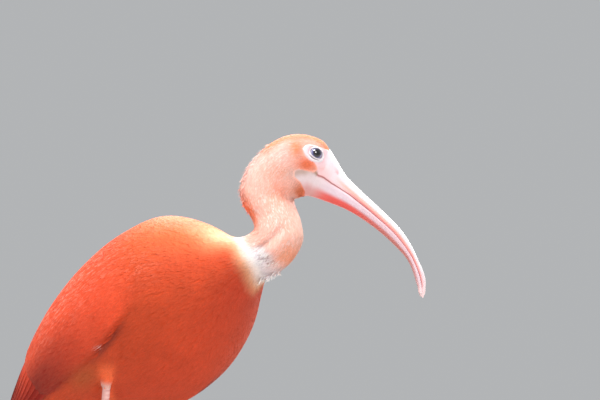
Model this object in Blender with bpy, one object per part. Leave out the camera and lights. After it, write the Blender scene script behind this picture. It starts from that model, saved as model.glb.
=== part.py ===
# A scarlet ibis at life size, standing with its wings folded and its head turned a little to its left.
# The bird faces +X and its left side is +Y. Lengths below are millimetres, and MM turns them into metres.
import math
import random
from collections import namedtuple

import bmesh
import bpy
from mathutils import Vector

MM = 0.001
GAP = 0.3  # between neighbouring pieces
ORIGIN = (19.3, 3.5)  # the middle of the bird's box on the floor, as drawn below
TURN_PIVOT = 70.0  # the neck turns left about the upright line here
SIDES = {"right": -1, "left": 1}

# Sections from the wing tips to the base of the bill: the back's point, the belly's point, half the width,
# the turn to the left in degrees, where it is widest from back to belly, and how keeled its lower half is.
Section = namedtuple("Section", "back_x back_z belly_x belly_z half_width turn widest keel")
BIRD = (
    Section(-143, 104, -133, 94, 13, 0, 0.50, 1.0),
    Section(-137, 124, -111, 98, 23, 0, 0.50, 1.0),
    Section(-126, 152, -86, 106, 31, 0, 0.48, 1.1),
    Section(-110, 183, -56, 113, 43, 0, 0.46, 1.8),
    Section(-88, 215, -23, 121, 54, 0, 0.46, 2.0),
    Section(-58, 246, 12, 131, 60, 0, 0.45, 1.8),
    Section(-24, 269, 40, 146, 62, 0, 0.45, 1.3),
    Section(10, 280, 59, 166, 59, 0, 0.46, 1.05),
    Section(38, 274, 72, 189, 49, 0, 0.48, 1.0),
    Section(57, 265, 80, 211, 36, 0, 0.50, 1.0),
    Section(70, 262, 89, 227, 24, 1, 0.50, 1.0),
    Section(79, 264, 103, 234, 18, 4, 0.50, 1.0),
    Section(84, 269, 115, 245, 17, 8, 0.50, 1.0),
    Section(82, 274, 121, 258, 17, 13, 0.50, 1.0),
    Section(78, 280, 119, 273, 17, 19, 0.50, 1.0),
    Section(73, 288, 115, 284, 17, 24, 0.50, 1.0),
    Section(71, 300, 113, 291, 16, 28, 0.48, 1.0),
    Section(76, 314, 115.5, 292, 15, 28, 0.46, 1.0),
    Section(85, 326, 117, 292.3, 15, 28, 0.44, 1.0),
    Section(96, 335.5, 118.3, 292.6, 15, 28, 0.40, 1.1),
    Section(112, 341.5, 119.5, 293, 14.5, 28, 0.34, 1.2),
    Section(127, 340, 120.7, 293.4, 13.3, 28, 0.30, 1.2),
    Section(135.5, 336, 122, 293.8, 12, 28, 0.36, 1.1),
    Section(140.8, 329, 123.6, 294, 9.5, 28, 0.49, 1.0),
)
RUMP, NECK_BASE, NECK_MIDDLE, NAPE, BILL_BASE = 1.7, 10.0, 14.0, 17.0, 23.0
TORSO_GRID, NECK_GRID, HEAD_GRID = (18, 28), (9, 20), (14, 28)  # steps along, and corners round

# The bill: the ridge's point, the chin's point and half the width. The mouth is where a section is widest.
BILL = (
    Section(140.8, 329, 123.6, 294, 9.5, 28, 0.49, 1.0),
    Section(144.5, 323, 128, 293, 8.5, 28, 0.46, 1.0),
    Section(151, 312, 134, 291, 7.0, 28, 0.42, 1.0),
    Section(163, 299, 152, 284, 5.8, 28, 0.46, 1.0),
    Section(180, 283, 170, 273, 5.0, 28, 0.48, 1.0),
    Section(197, 265, 188, 258, 4.2, 28, 0.48, 1.0),
    Section(208, 245, 201, 243, 3.5, 28, 0.48, 1.0),
    Section(214, 226, 207.5, 225, 2.8, 28, 0.50, 1.0),
    Section(212, 215.5, 210.5, 215.8, 1.0, 28, 0.50, 1.0),
)
UPPER_OVERHANG = 0.25  # how much further along the last sections the upper half runs

EYE = dict(x=130, z=326.0, sunk=4.2, radius=6.3)  # sunk is how far its centre lies behind the rim
# The rim of the lids: its half sizes, the tilt of its longer way, and how it leans in to bill and crown.
LID = dict(long=6.1, short=5.1, tilt=-25, thick=1.4, out=11.5, lean_ahead=0.4, lean_up=0.17)
LID.update(steps=18, sides=5)
NOSTRIL = dict(x=147.5, z=312.5, long=4.0, high=0.9, deep=1.6, out=6.2, slope=-47)

THIGH_RADIUS = 16.0
THIGH_BOW = 2.5  # how far the feathered thigh bows outwards
KNEE_RADIUS = 4.4
KNEE_LENGTH = 6.0
WING_BED = 9.5  # how deep the folded wings sit in the plumage
WING_TOP, WING_LOW = 26.0, 99.0  # the angles from the back between which a wing lies
# The tiers of a wing, each from its upper to its lower feather: where the roots and tips lie along the body,
# the share of the wing's height they take, how deep root and tip lie, how soon they rise, and their own size.
Tier = namedtuple(
    "Tier", "count root root_low tip tip_low top low root_depth tip_depth rise width thick steps"
)
LONG_STEPS = (0.0, 0.2, 0.45, 0.7, 0.9, 1.0)
SHORT_STEPS = (0.0, 0.35, 0.75, 1.0)
TIERS = (
    Tier(5, 2.9, 3.3, 1.1, 0.05, 0.62, 0.98, 8.8, 3.4, 1.3, 10.5, 0.75, LONG_STEPS),
    Tier(9, 4.5, 4.7, 0.9, 2.3, 0.0, 0.96, 9.2, 0.7, 2.4, 16.5, 0.8, LONG_STEPS),
    Tier(7, 5.4, 5.5, 3.9, 4.3, 0.22, 0.97, 8.6, 0.4, 2.2, 16.0, 0.7, SHORT_STEPS),
    Tier(6, 6.2, 6.2, 4.9, 5.1, 0.26, 0.94, 6.5, 0.3, 2.0, 16.0, 0.7, SHORT_STEPS),
    Tier(4, 6.2, 6.3, 3.1, 3.9, 0.0, 0.21, 8.5, 0.2, 2.6, 15.0, 0.7, LONG_STEPS),
)
WING_FRONT, WING_BACK = 7.2, 2.7  # where along the body the arm and hand under the feathers begin and end
WING_FRONT_DEPTH, WING_BACK_DEPTH = 0.2, 7.6  # and how deep they lie there under the bird's outline
WING_INNER = 14.0  # how deep the arm and hand reach before the body is cut out of them
WING_BEND = 45  # the angle from the back at which the front of the folded wing is roundest
TAIL = dict(root=(-96, 123), tip=(-158, 82), pairs=6, width=15.0, thick=0.75, step=1.1)
TAIL.update(first_out=3.0, next_out=2.2, sunk=0.12)
TAIL_STEPS = (0.0, 0.35, 0.7, 0.9, 1.0)
RUMP_TAPER = 12.0  # how much the rump draws in to the root of the tail
LEGS = {
    "right": dict(thigh=(-8, -37, 184), bare=(-23.2, -41, 148), ankle=(-32, -35, 98), foot=(-24, -30, 10)),
    "left": dict(thigh=(4, 37, 186), bare=(-13, 41, 150), ankle=(-19, 35, 99), foot=(-9, 30, 10)),
}
TOES = {"middle": (62, 0), "inner": (46, 27), "outer": (51, -29), "hind": (25, 172)}
CLAW_LENGTH = 9.0
CLAW_RADII = (1.7, 1.35, 0.8, 0.3)
# The claw's middle line, as shares of its length and how it rises and falls.
CLAW_BEND = ((0.0, 0.0), (0.45, 0.5), (0.8, 0.0), (1.0, -1.2))
TIBIA_RADII = (2.9, 2.7, 3.4, 4.6)  # from the feathers to the ankle
TARSUS_RADII = (4.6, 5.0, 4.2, 3.0, 2.7, 3.1, 3.9)  # from the ankle to the foot
SHIN_HOLE = 3.6  # the half width of the way left for the bare leg where it passes the body
BALL_RADII = (3.9, 4.6, 3.2)
# The toe's middle line, as shares of its length and heights over the floor.
TOE_HEIGHTS = ((0.0, 7.0), (0.10, 5.2), (0.26, 3.2), (0.55, 2.6), (0.8, 2.3), (1.0, 2.1))
TOE_RADII = (3.4, 3.3, 3.1, 2.7, 2.4, 1.9)
HIND_TOE_RADII = (2.9, 2.8, 2.6, 2.4, 2.1, 1.7)
WEB_REACH = 15.0


def clear_scene():
    for thing in list(bpy.data.objects):
        bpy.data.objects.remove(thing)


def finish(name, colour, roughness):
    material = bpy.data.materials.new(name)
    material.use_nodes = True
    shader = material.node_tree.nodes["Principled BSDF"]
    shader.inputs["Base Color"].default_value = (*colour, 1)
    shader.inputs["Roughness"].default_value = roughness
    shader.inputs["Metallic"].default_value = 0.0
    return material


def mix(a, b, share):
    return a + (b - a) * share


def ramp(value, low, high):
    """0 below low and 1 above high, with a smooth rise between them."""
    share = min(1.0, max(0.0, (value - low) / (high - low)))
    return share * share * (3 - 2 * share)


def centre_of(row):
    return Vector(((row.back_x + row.belly_x) / 2, 0, (row.back_z + row.belly_z) / 2))


def slopes(rows):
    """How each number of the rows changes per millimetre, weighted by the spans on both sides."""
    spans = [max((centre_of(b) - centre_of(a)).length, 3.0) for a, b in zip(rows, rows[1:])]
    rates = [[(b - a) / span for a, b in zip(*pair)] for pair, span in zip(zip(rows, rows[1:]), spans)]
    found = [rates[0]]
    for i in range(1, len(spans)):
        before, after = spans[i - 1], spans[i]
        found.append([(r * after + q * before) / (before + after) for r, q in zip(rates[i - 1], rates[i])])
    return spans, found + [rates[-1]]


def section_at(rows, place):
    """The section a fraction of the way between two rows, on one smooth curve through them all."""
    spans, rates = slopes(rows)
    i = min(int(place), len(rows) - 2)
    u = place - i
    start, end = 2 * u**3 - 3 * u**2 + 1, 3 * u**2 - 2 * u**3
    leave, arrive = (u**3 - 2 * u**2 + u) * spans[i], (u**3 - u**2) * spans[i]
    values = zip(rows[i], rows[i + 1], rates[i], rates[i + 1])
    return Section(*(a * start + b * end + m * leave + n * arrive for a, b, m, n in values))


def in_plane(x, z, turn):
    """A point of the bird's own upright plane, which swings to the left about the pivot."""
    angle = math.radians(turn)
    reach = x - TURN_PIVOT
    return Vector((TURN_PIVOT + reach * math.cos(angle), reach * math.sin(angle), z))


def leftwards(turn):
    angle = math.radians(turn)
    return Vector((-math.sin(angle), math.cos(angle), 0))


def on_section(row, angle, depth=0.0):
    """The point at an angle from the back, in degrees towards the left, sunk by a depth."""
    back, belly = in_plane(row.back_x, row.back_z, row.turn), in_plane(row.belly_x, row.belly_z, row.turn)
    middle = back.lerp(belly, row.widest)
    up, across = math.cos(math.radians(angle)), math.sin(math.radians(angle))
    if up < 0:
        across = math.copysign(abs(across) ** (1 - up * (row.keel - 1)), across)
    reach = (back - middle) * up if up > 0 else (belly - middle) * -up
    spoke = reach + leftwards(row.turn) * row.half_width * across
    return middle + spoke * (1 - depth / spoke.length)


def loft(rings):
    """A closed skin through rings of equally many points: one ring's edges extruded along the others."""
    mesh = bmesh.new()
    count = len(rings[0])
    ring = bmesh.ops.create_circle(mesh, cap_ends=True, segments=count, radius=1)["verts"]
    for vert, point in zip(ring, rings[0]):
        vert.co = point
    for points in rings[1:]:
        edges = [mesh.edges.get((ring[i], ring[(i + 1) % count])) for i in range(count)]
        made = set(bmesh.ops.extrude_edge_only(mesh, edges=edges)["geom"])
        ring = [next(e.other_vert(v) for e in v.link_edges if e.other_vert(v) in made) for v in ring]
        for vert, point in zip(ring, points):
            vert.co = point
    last_edges = [mesh.edges.get((ring[i], ring[(i + 1) % count])) for i in range(count)]
    bmesh.ops.edgeloop_fill(mesh, edges=last_edges)
    bmesh.ops.triangulate(mesh, faces=mesh.faces, quad_method="FIXED")
    bmesh.ops.recalc_face_normals(mesh, faces=mesh.faces)
    return mesh


def as_object(name, mesh, material=None):
    """Puts a bmesh drawn in millimetres into the scene, in metres."""
    bmesh.ops.scale(mesh, vec=(MM, MM, MM), verts=mesh.verts)
    data = bpy.data.meshes.new(name)
    mesh.to_mesh(data)
    mesh.free()
    thing = bpy.data.objects.new(name, data)
    bpy.context.collection.objects.link(thing)
    if material:
        data.materials.append(material)
    return thing


def largest_surface(data):
    """Drops every closed surface of the mesh but the one that holds most."""
    mesh = bmesh.new()
    mesh.from_mesh(data)
    bmesh.ops.dissolve_degenerate(mesh, dist=1e-7, edges=mesh.edges)
    bmesh.ops.triangulate(mesh, faces=mesh.faces)
    left, shells = set(mesh.faces), []
    while left:
        shell, edge_of_search = set(), [left.pop()]
        while edge_of_search:
            face = edge_of_search.pop()
            shell.add(face)
            near = {other for edge in face.edges for other in edge.link_faces} & left
            left -= near
            edge_of_search.extend(near)
        volume = sum(f.verts[0].co.dot(f.verts[1].co.cross(f.verts[2].co)) for f in shell)
        shells.append((abs(volume), len(shells), shell))
    keep = max(shells)[2]
    bmesh.ops.delete(mesh, geom=[f for f in mesh.faces if f not in keep], context="FACES")
    mesh.to_mesh(data)
    mesh.free()


def combine(target, operation, pieces, solver="EXACT"):
    """One Boolean of the target with a collection of closed pieces, applied, and the pieces removed."""
    group = bpy.data.collections.new(target.name + "_pieces")
    for piece in pieces:
        group.objects.link(piece)
    modifier = target.modifiers.new("combine", "BOOLEAN")
    modifier.operation = operation
    modifier.operand_type = "COLLECTION"
    modifier.collection = group
    modifier.solver = solver
    graph = bpy.context.evaluated_depsgraph_get()
    data = bpy.data.meshes.new_from_object(target.evaluated_get(graph))
    target.modifiers.clear()
    target.data = data
    for piece in pieces:
        bpy.data.objects.remove(piece)
    bpy.data.collections.remove(group)
    largest_surface(data)


def shade(thing, sharp_from=35):
    thing.data.shade_smooth()
    thing.data.set_sharp_from_angle(angle=math.radians(sharp_from))


def places(start, end, steps):
    return [mix(start, end, i / steps) for i in range(steps + 1)]


def moved_ring(points, shift):
    """The ring moved along its own normal, which is how neighbours keep their gap."""
    middle = sum(points, Vector()) / len(points)
    normal = sum(((a - middle).cross(b - middle) for a, b in zip(points, points[1:])), Vector()).normalized()
    return [point + normal * shift for point in points]


def wing_bed(place, angle):
    """How deep the body is hollowed for the folded wings, at a place along it and an angle from the back."""
    along = 1 - ramp(place, 6.6, 8.2)
    low = 1 - ramp(abs(angle), 98, 112)
    edge = top_angle(place, 8)
    mantle = ramp(abs(angle), edge - 10, edge)
    top = mix(1.0, mantle, ramp(place, 3.0, 4.2))
    return WING_BED * along * low * top + RUMP_TAPER * (1 - ramp(place, RUMP, 3.0))


def body_length(name, start, end, steps, sides, material, depth=None, grow=0.0):
    """A length of the body between two places along it, kept half a gap short at each parting."""
    rings = []
    for place in places(start, end, steps):
        row = section_at(BIRD, place)
        ring = []
        for i in range(sides):
            angle = 360 * i / sides
            angle = angle - 360 if angle > 180 else angle
            ring.append(on_section(row, angle, (depth(place, angle) if depth else 0) - grow))
        rings.append(ring)
    ahead = GAP / 2 if place_normal(rings) > 0 else -GAP / 2
    rings[0] = moved_ring(rings[0], ahead - math.copysign(grow, ahead))
    rings[-1] = moved_ring(rings[-1], -ahead + math.copysign(grow, ahead))
    return as_object(name, loft(rings), material)


def place_normal(rings):
    """Positive where the rings' own normals point along the body."""
    first, second = rings[0], rings[1]
    step = sum(second, Vector()) / len(second) - sum(first, Vector()) / len(first)
    return (moved_ring(first, 1.0)[0] - first[0]).dot(step)


def tube(points, radii, sides, squash=1.0):
    """Rings round a line of points; squash flattens them from above."""
    rings = []
    for i, point in enumerate(points):
        ahead = points[min(i + 1, len(points) - 1)] - points[max(i - 1, 0)]
        ahead.normalize()
        across = ahead.cross(Vector((0, 0, 1)))
        across = across.normalized() if across.length > 0.3 else Vector((0, 1, 0))
        upwards = across.cross(ahead).normalized()
        turned = [2 * math.pi * k / sides for k in range(sides)]
        spokes = [across * math.cos(a) + upwards * squash * math.sin(a) for a in turned]
        rings.append([point + radii[i] * spoke for spoke in spokes])
    return loft(rings)


def make_torso(material):
    torso = body_length("torso", RUMP, NECK_BASE, *TORSO_GRID, material, depth=wing_bed)
    combine(torso, "DIFFERENCE", [thigh_form("thigh_cutter", name, 1.5 * GAP) for name in SIDES])
    combine(torso, "DIFFERENCE", [shin_cutter(name) for name in SIDES])
    shade(torso)


def torso_cutter():
    return body_length("torso_cutter", RUMP, NECK_BASE, *TORSO_GRID, None, depth=wing_bed, grow=1.8 * GAP)


def make_neck(material):
    for name, start, end in (("neck_lower", NECK_BASE, NECK_MIDDLE), ("neck_upper", NECK_MIDDLE, NAPE)):
        shade(body_length(name, start, end, *NECK_GRID, material))


def rim_centre(side):
    turn = BIRD[-1].turn
    return in_plane(EYE["x"], EYE["z"], turn) + leftwards(turn) * LID["out"] * side


def eye_place(side):
    turn = BIRD[-1].turn
    outward = leftwards(turn) * side + leftwards(turn - 90) * LID["lean_ahead"]
    outward.z = LID["lean_up"]
    return rim_centre(side) - outward.normalized() * EYE["sunk"]


def eye_ball(name, side, grow, material=None):
    mesh = bmesh.new()
    bmesh.ops.create_uvsphere(mesh, u_segments=16, v_segments=10, radius=EYE["radius"] + grow)
    bmesh.ops.translate(mesh, vec=eye_place(side), verts=mesh.verts)
    return as_object(name, mesh, material)


def lid_ring(side):
    """The bare rim of the lids, an oval ring that leans forward and down and lies on the side of the head."""
    turn = BIRD[-1].turn
    forward = leftwards(turn - 90)
    tilt = math.radians(LID["tilt"])
    long_way = forward * math.cos(tilt) + Vector((0, 0, math.sin(tilt)))
    short_way = Vector((0, 0, math.cos(tilt))) - forward * math.sin(tilt)
    outward = leftwards(turn) * side
    centre = rim_centre(side)
    mesh = bmesh.new()
    circle = bmesh.ops.create_circle(mesh, segments=LID["sides"], radius=LID["thick"])["verts"]
    upright = Vector((0, 0, 1)).rotation_difference((0, 1, 0)).to_matrix()
    bmesh.ops.rotate(mesh, verts=circle, cent=(0, 0, 0), matrix=upright)
    bmesh.ops.translate(mesh, verts=circle, vec=(LID["long"], 0, 0))
    edges = {edge for vert in circle for edge in vert.link_edges}
    bmesh.ops.spin(mesh, geom=list(edges) + circle, cent=(0, 0, 0), axis=(0, 0, 1), angle=2 * math.pi,
                   steps=LID["steps"], use_merge=True)
    bmesh.ops.remove_doubles(mesh, verts=mesh.verts, dist=1e-4)
    for vert in mesh.verts:
        x, y, z = vert.co
        ahead_of_centre = long_way * x + short_way * y * LID["short"] / LID["long"]
        lean = LID["lean_ahead"] * ahead_of_centre.dot(forward) + LID["lean_up"] * ahead_of_centre.z
        vert.co = centre + ahead_of_centre + outward * (z - lean)
    bmesh.ops.triangulate(mesh, faces=mesh.faces)
    bmesh.ops.recalc_face_normals(mesh, faces=mesh.faces)
    return as_object("lid", mesh)


def make_head(material, eye_material):
    head = body_length("head", NAPE, BILL_BASE, *HEAD_GRID, material)
    combine(head, "UNION", [lid_ring(side) for side in SIDES.values()])
    combine(head, "DIFFERENCE", [eye_ball("socket", side, GAP) for side in SIDES.values()])
    shade(head, 50)
    for name, side in SIDES.items():
        shade(eye_ball("eye_" + name, side, 0, eye_material))


def half_bill(name, upper, last, material):
    """One mandible: the half section above or below the mouth, from the face to the tip."""
    rings = []
    sides = 10
    for place in places(0, last, 20):
        row = section_at(BILL, place)
        ring = []
        for i in range(sides + 1):
            angle = mix(-90, 90, i / sides) if upper else mix(90, 270, i / sides)
            ring.append(on_section(row, angle))
        mouth = (ring[0] + ring[-1]) / 2
        away = (ring[sides // 2] - mouth).normalized() * GAP / 2
        rings.append([point + away for point in ring])
    ahead = GAP / 2 if place_normal(rings) > 0 else -GAP / 2
    rings[0] = moved_ring(rings[0], ahead)
    return as_object(name, loft(rings), material)


def nostril(side):
    mesh = bmesh.new()
    bmesh.ops.create_icosphere(mesh, subdivisions=2, radius=1)
    bmesh.ops.scale(mesh, vec=(NOSTRIL["long"], NOSTRIL["deep"], NOSTRIL["high"]), verts=mesh.verts)
    turn = BILL[0].turn
    forward = leftwards(turn - 90)
    slope = math.radians(NOSTRIL["slope"])
    along = forward * math.cos(slope) + Vector((0, 0, math.sin(slope)))
    over = Vector((0, 0, math.cos(slope))) - forward * math.sin(slope)
    centre = in_plane(NOSTRIL["x"], NOSTRIL["z"], turn) + leftwards(turn) * side * NOSTRIL["out"]
    for vert in mesh.verts:
        x, y, z = vert.co
        vert.co = centre + along * x + leftwards(turn) * y + over * z
    bmesh.ops.recalc_face_normals(mesh, faces=mesh.faces)
    return as_object("nostril", mesh)


def make_bill(material):
    last = len(BILL) - 1
    upper = half_bill("bill_upper", True, last, material)
    combine(upper, "DIFFERENCE", [nostril(side) for side in SIDES.values()])
    shade(upper)
    shade(half_bill("bill_lower", False, last - UPPER_OVERHANG, material))


def vane(line, thickness):
    """One feather: a strip along pairs of edge points, given its thickness inwards."""
    mesh = bmesh.new()
    pair = [mesh.verts.new(point) for point in line[0]]
    edge = mesh.edges.new(pair)
    for points in line[1:]:
        made = set(bmesh.ops.extrude_edge_only(mesh, edges=[edge])["geom"])
        pair = [next(e.other_vert(v) for e in v.link_edges if e.other_vert(v) in made) for v in pair]
        edge = mesh.edges.get(pair)
        for vert, point in zip(pair, points):
            vert.co = point
    bmesh.ops.triangulate(mesh, faces=mesh.faces, quad_method="FIXED")
    bmesh.ops.recalc_face_normals(mesh, faces=mesh.faces)
    bmesh.ops.solidify(mesh, geom=mesh.faces, thickness=thickness)
    bmesh.ops.recalc_face_normals(mesh, faces=mesh.faces)
    return as_object("vane", mesh)


def vane_width(share):
    """How wide a feather is along its length, against its widest: a narrow root and a rounded tip."""
    return mix(0.55, 1.0, ramp(share, 0.0, 0.4)) * math.sqrt(max(0.05, 1 - ramp(share, 0.72, 1.04) ** 1.6))


def top_angle(place, width):
    """The angle from the back at which a feather's inner edge just clears the wing on the other side."""
    row = section_at(BIRD, place)
    clear = math.degrees(math.asin(min(0.9, (width / 2 + 3 * GAP) / row.half_width)))
    return mix(clear, WING_TOP, ramp(place, 3.4, 6.0))


def wing_vane(tier, number, side, chance):
    """One feather of a tier, laid along the side like a tile with its lower edge outermost."""
    share = number / (tier.count - 1)
    across_share = mix(tier.top, tier.low, share)
    root = mix(tier.root, tier.root_low, share)
    tip = mix(tier.tip, tier.tip_low, share) + chance.uniform(-0.04, 0.04)
    step = (tier.low - tier.top) / (tier.count - 1)
    line = []
    for along in tier.steps:
        place = mix(root, tip, along)
        row = section_at(BIRD, place)
        top = top_angle(place, tier.width)
        angle = mix(top, WING_LOW, across_share)
        depth = mix(tier.tip_depth, tier.root_depth, (1 - along) ** tier.rise)
        middle = on_section(row, side * angle, depth)
        lower = on_section(row, side * (angle + 2), depth)
        next_place = place - 0.05
        next_angle = mix(top_angle(next_place, tier.width), WING_LOW, across_share)
        ahead = on_section(section_at(BIRD, next_place), side * next_angle, depth)
        across, forward = (lower - middle).normalized(), (ahead - middle).normalized()
        outward = forward.cross(across) * -side
        spacing = (lower - middle).length / 2 * (WING_LOW - top) * step
        tilt = math.asin(min(0.55, (tier.thick + 1.4 * GAP) / spacing)) * ramp(across_share, -0.1, 0.3)
        reach = tier.width / 2 * vane_width(along)
        half = (across * math.cos(tilt) + outward * math.sin(tilt)) * reach
        middle -= outward * math.sin(tilt) * reach * 0.6
        line.append((middle - half, middle + half))
    return vane(line, tier.thick)


def wing_core(name, side, material):
    """The hand and arm under the feathers, a shell that hugs the side of the body."""
    rings = []
    for place in places(WING_FRONT, WING_BACK, 12):
        row = section_at(BIRD, place)
        opening = math.sin(math.pi / 2 * min(1, (WING_FRONT + 0.2 - place) / 1.4))
        top, low = (mix(WING_BEND, edge, opening) for edge in (top_angle(place, 4), WING_LOW - 1))
        outer = mix(WING_BACK_DEPTH, WING_FRONT_DEPTH, ramp(place, 3.2, WING_FRONT))
        arc = places(top, low, 8)
        outside = [on_section(row, side * angle, outer) for angle in arc]
        rings.append(outside + [on_section(row, side * angle, WING_INNER) for angle in arc[::-1]])
    return as_object(name, loft(rings), material)


def make_wing(name, side, material):
    chance = random.Random(7 if side > 0 else 8)
    wing = wing_core(name, side, material)
    vanes = [wing_vane(tier, number, side, chance) for tier in TIERS for number in range(tier.count)]
    combine(wing, "UNION", vanes)
    side_name = next(word for word, sign in SIDES.items() if sign == side)
    combine(wing, "DIFFERENCE", [torso_cutter(), thigh_form("thigh_cutter", side_name, GAP)])
    shade(wing)


def tail_point(share, across, level):
    """A point of the folded tail: along it, out from the middle, and above or below its top."""
    start, end = (Vector((x, 0, z)) for x, z in (TAIL["root"], TAIL["tip"]))
    up = (end - start).normalized().cross(Vector((0, 1, 0)))
    up = up if up.z > 0 else -up
    return start.lerp(end, share) + Vector((0, across, 0)) + up * level


def make_tail(material):
    """Twelve feathers in a closed fan, the middle pair uppermost, rooted in the rump."""
    chance = random.Random(12)
    rings = []
    for share in (0.0, 0.12, 0.24, 0.34, 0.42):
        closing = 1 - ramp(share, 0.1, 0.5)
        half_width, half_height = mix(9, 13, closing), mix(3.2, 7.5, closing)
        turned = [2 * math.pi * k / 12 for k in range(12)]
        ring = [(half_width * math.cos(a), half_height * math.sin(a) - 3.4) for a in turned]
        rings.append([tail_point(share, across, level) for across, level in ring])
    tail = as_object("tail", loft(rings), material)
    pieces = []
    for side in SIDES.values():
        for rank in range(TAIL["pairs"]):
            level = -TAIL["step"] * (rank + (1 if rank or side < 0 else 0))
            out = TAIL["first_out"] + TAIL["next_out"] * rank
            length = 1 - 0.02 * rank + chance.uniform(-0.01, 0.01)
            line = []
            for along in TAIL_STEPS:
                half = TAIL["width"] / 2 * vane_width(along)
                spread = side * out * mix(0.75, 1.3, along)
                share = mix(TAIL["sunk"], length, along)
                line.append([tail_point(share, spread + edge * half, level) for edge in (-1, 1)])
            pieces.append(vane(line, TAIL["thick"]))
    combine(tail, "UNION", pieces)
    combine(tail, "DIFFERENCE", [torso_cutter()])
    shade(tail)


def leg_points(side_name):
    return {key: Vector(value) for key, value in LEGS[side_name].items()}


def thigh_form(name, side_name, grow, material=None):
    """The feathered drumstick, rounded at the top and drawn in to the bare leg."""
    leg = leg_points(side_name)
    start, end = leg["thigh"], leg["bare"]
    down = (leg["ankle"] - end).normalized()
    start, end = start - (end - start).normalized() * grow, end + down * grow
    steps = 10
    bend = end - down * KNEE_LENGTH
    outward = Vector((0, SIDES[side_name] * THIGH_BOW, 0))
    points = [start.lerp(bend, i / (steps - 1)) for i in range(steps)] + [end]
    points = [point + outward * math.sin(math.pi * i / steps) for i, point in enumerate(points)]
    radii = [THIGH_RADIUS * math.sqrt(1 - (1 - i / 3) ** 2 * 0.9) if i < 3
             else mix(THIGH_RADIUS, KNEE_RADIUS, ((i - 3) / (steps - 3)) ** 1.2) for i in range(steps + 1)]
    return as_object(name, tube(points, [radius + grow for radius in radii], 16), material)


def make_thigh(side_name, material):
    shade(thigh_form("thigh_" + side_name, side_name, 0, material))


def shin_cutter(side_name):
    leg = leg_points(side_name)
    return as_object("shin_cutter", tube([leg["bare"], leg["ankle"]], [SHIN_HOLE, SHIN_HOLE], 12))


def make_shin(side_name, material):
    """The bare length above the ankle and the long bone below it, parted at the ankle."""
    leg = leg_points(side_name)
    top, ankle, foot = leg["bare"], leg["ankle"], leg["foot"]
    down = (ankle - top).normalized()
    start = top + down * GAP
    points = [start, start.lerp(ankle, 0.5), ankle - down * 7, ankle - down * 2.5]
    shade(as_object("tibia_" + side_name, tube(points, TIBIA_RADII, 12), material))
    along = (foot - ankle).normalized()
    knob = ankle - down * (2.5 - GAP)
    bend = [knob, ankle, ankle + along * 4, ankle + along * 12]
    bend += [ankle.lerp(foot, 0.5), foot - along * 8, foot - along * (2 + GAP)]
    shade(as_object("tarsus_" + side_name, tube(bend, TARSUS_RADII, 12), material))


def toe_line(leg_foot, length, heading):
    """The toe's middle line: down from the ball of the foot and out along the floor."""
    angle = math.radians(heading)
    way = Vector((math.cos(angle), math.sin(angle), 0))
    base = Vector((leg_foot.x, leg_foot.y, 0))
    return [base + way * length * share + Vector((0, 0, high)) for share, high in TOE_HEIGHTS]


def web(base, first, second):
    """The small skin between two front toes."""
    mesh = bmesh.new()
    bmesh.ops.create_cone(mesh, cap_ends=True, segments=3, radius1=1, radius2=1, depth=1.2)
    corners = [base, base + first * WEB_REACH, base + second * WEB_REACH]
    for vert in mesh.verts:
        corner = min(range(3), key=lambda k: abs(math.atan2(vert.co.y, vert.co.x) - (0, 2.09, -2.09)[k]))
        vert.co = corners[corner] + Vector((0, 0, 2.4 + (0.6 if vert.co.z > 0 else -0.6)))
    bmesh.ops.recalc_face_normals(mesh, faces=mesh.faces)
    return as_object("web", mesh)


def floor_cutter():
    mesh = bmesh.new()
    bmesh.ops.create_cube(mesh, size=1)
    bmesh.ops.scale(mesh, vec=(400, 400, 40), verts=mesh.verts)
    bmesh.ops.translate(mesh, vec=(0, 0, -20), verts=mesh.verts)
    return as_object("floor_cutter", mesh)


def make_foot(side_name, material, claw_material):
    side = SIDES[side_name]
    foot = leg_points(side_name)["foot"]
    ankle = leg_points(side_name)["ankle"]
    along = (foot - ankle).normalized()
    neck = tube([foot - along * 2, foot + along * 1.5, foot + along * 5], BALL_RADII, 12)
    ball = as_object("foot_" + side_name, neck, material)
    pieces, ways = [], {}
    for toe, (length, spread) in TOES.items():
        heading = -side * spread
        line = toe_line(foot, length, heading)
        radii = HIND_TOE_RADII if toe == "hind" else TOE_RADII
        pieces.append(as_object("toe", tube(line, radii, 8), None))
        ways[toe] = (line[-1] - line[0]).normalized()
        ways[toe].z = 0
        tip = line[-1] + ways[toe] * GAP
        bend = [tip + ways[toe] * CLAW_LENGTH * share + Vector((0, 0, rise)) for share, rise in CLAW_BEND]
        shade(as_object(f"claw_{side_name}_{toe}", tube(bend, CLAW_RADII, 8), claw_material))
    base = Vector((foot.x, foot.y, 0))
    pieces += [web(base, ways["middle"], ways[other]) for other in ("inner", "outer")]
    combine(ball, "UNION", pieces)
    combine(ball, "DIFFERENCE", [floor_cutter()])
    shade(ball)


def set_on_floor():
    """Moves the whole bird so that the origin is on the floor under the middle of its box."""
    stand = bpy.data.objects.new("bird", None)
    bpy.context.collection.objects.link(stand)
    stand.location = (-ORIGIN[0] * MM, -ORIGIN[1] * MM, 0)
    for thing in bpy.data.objects:
        if thing.type == "MESH":
            thing.parent = stand


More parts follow.
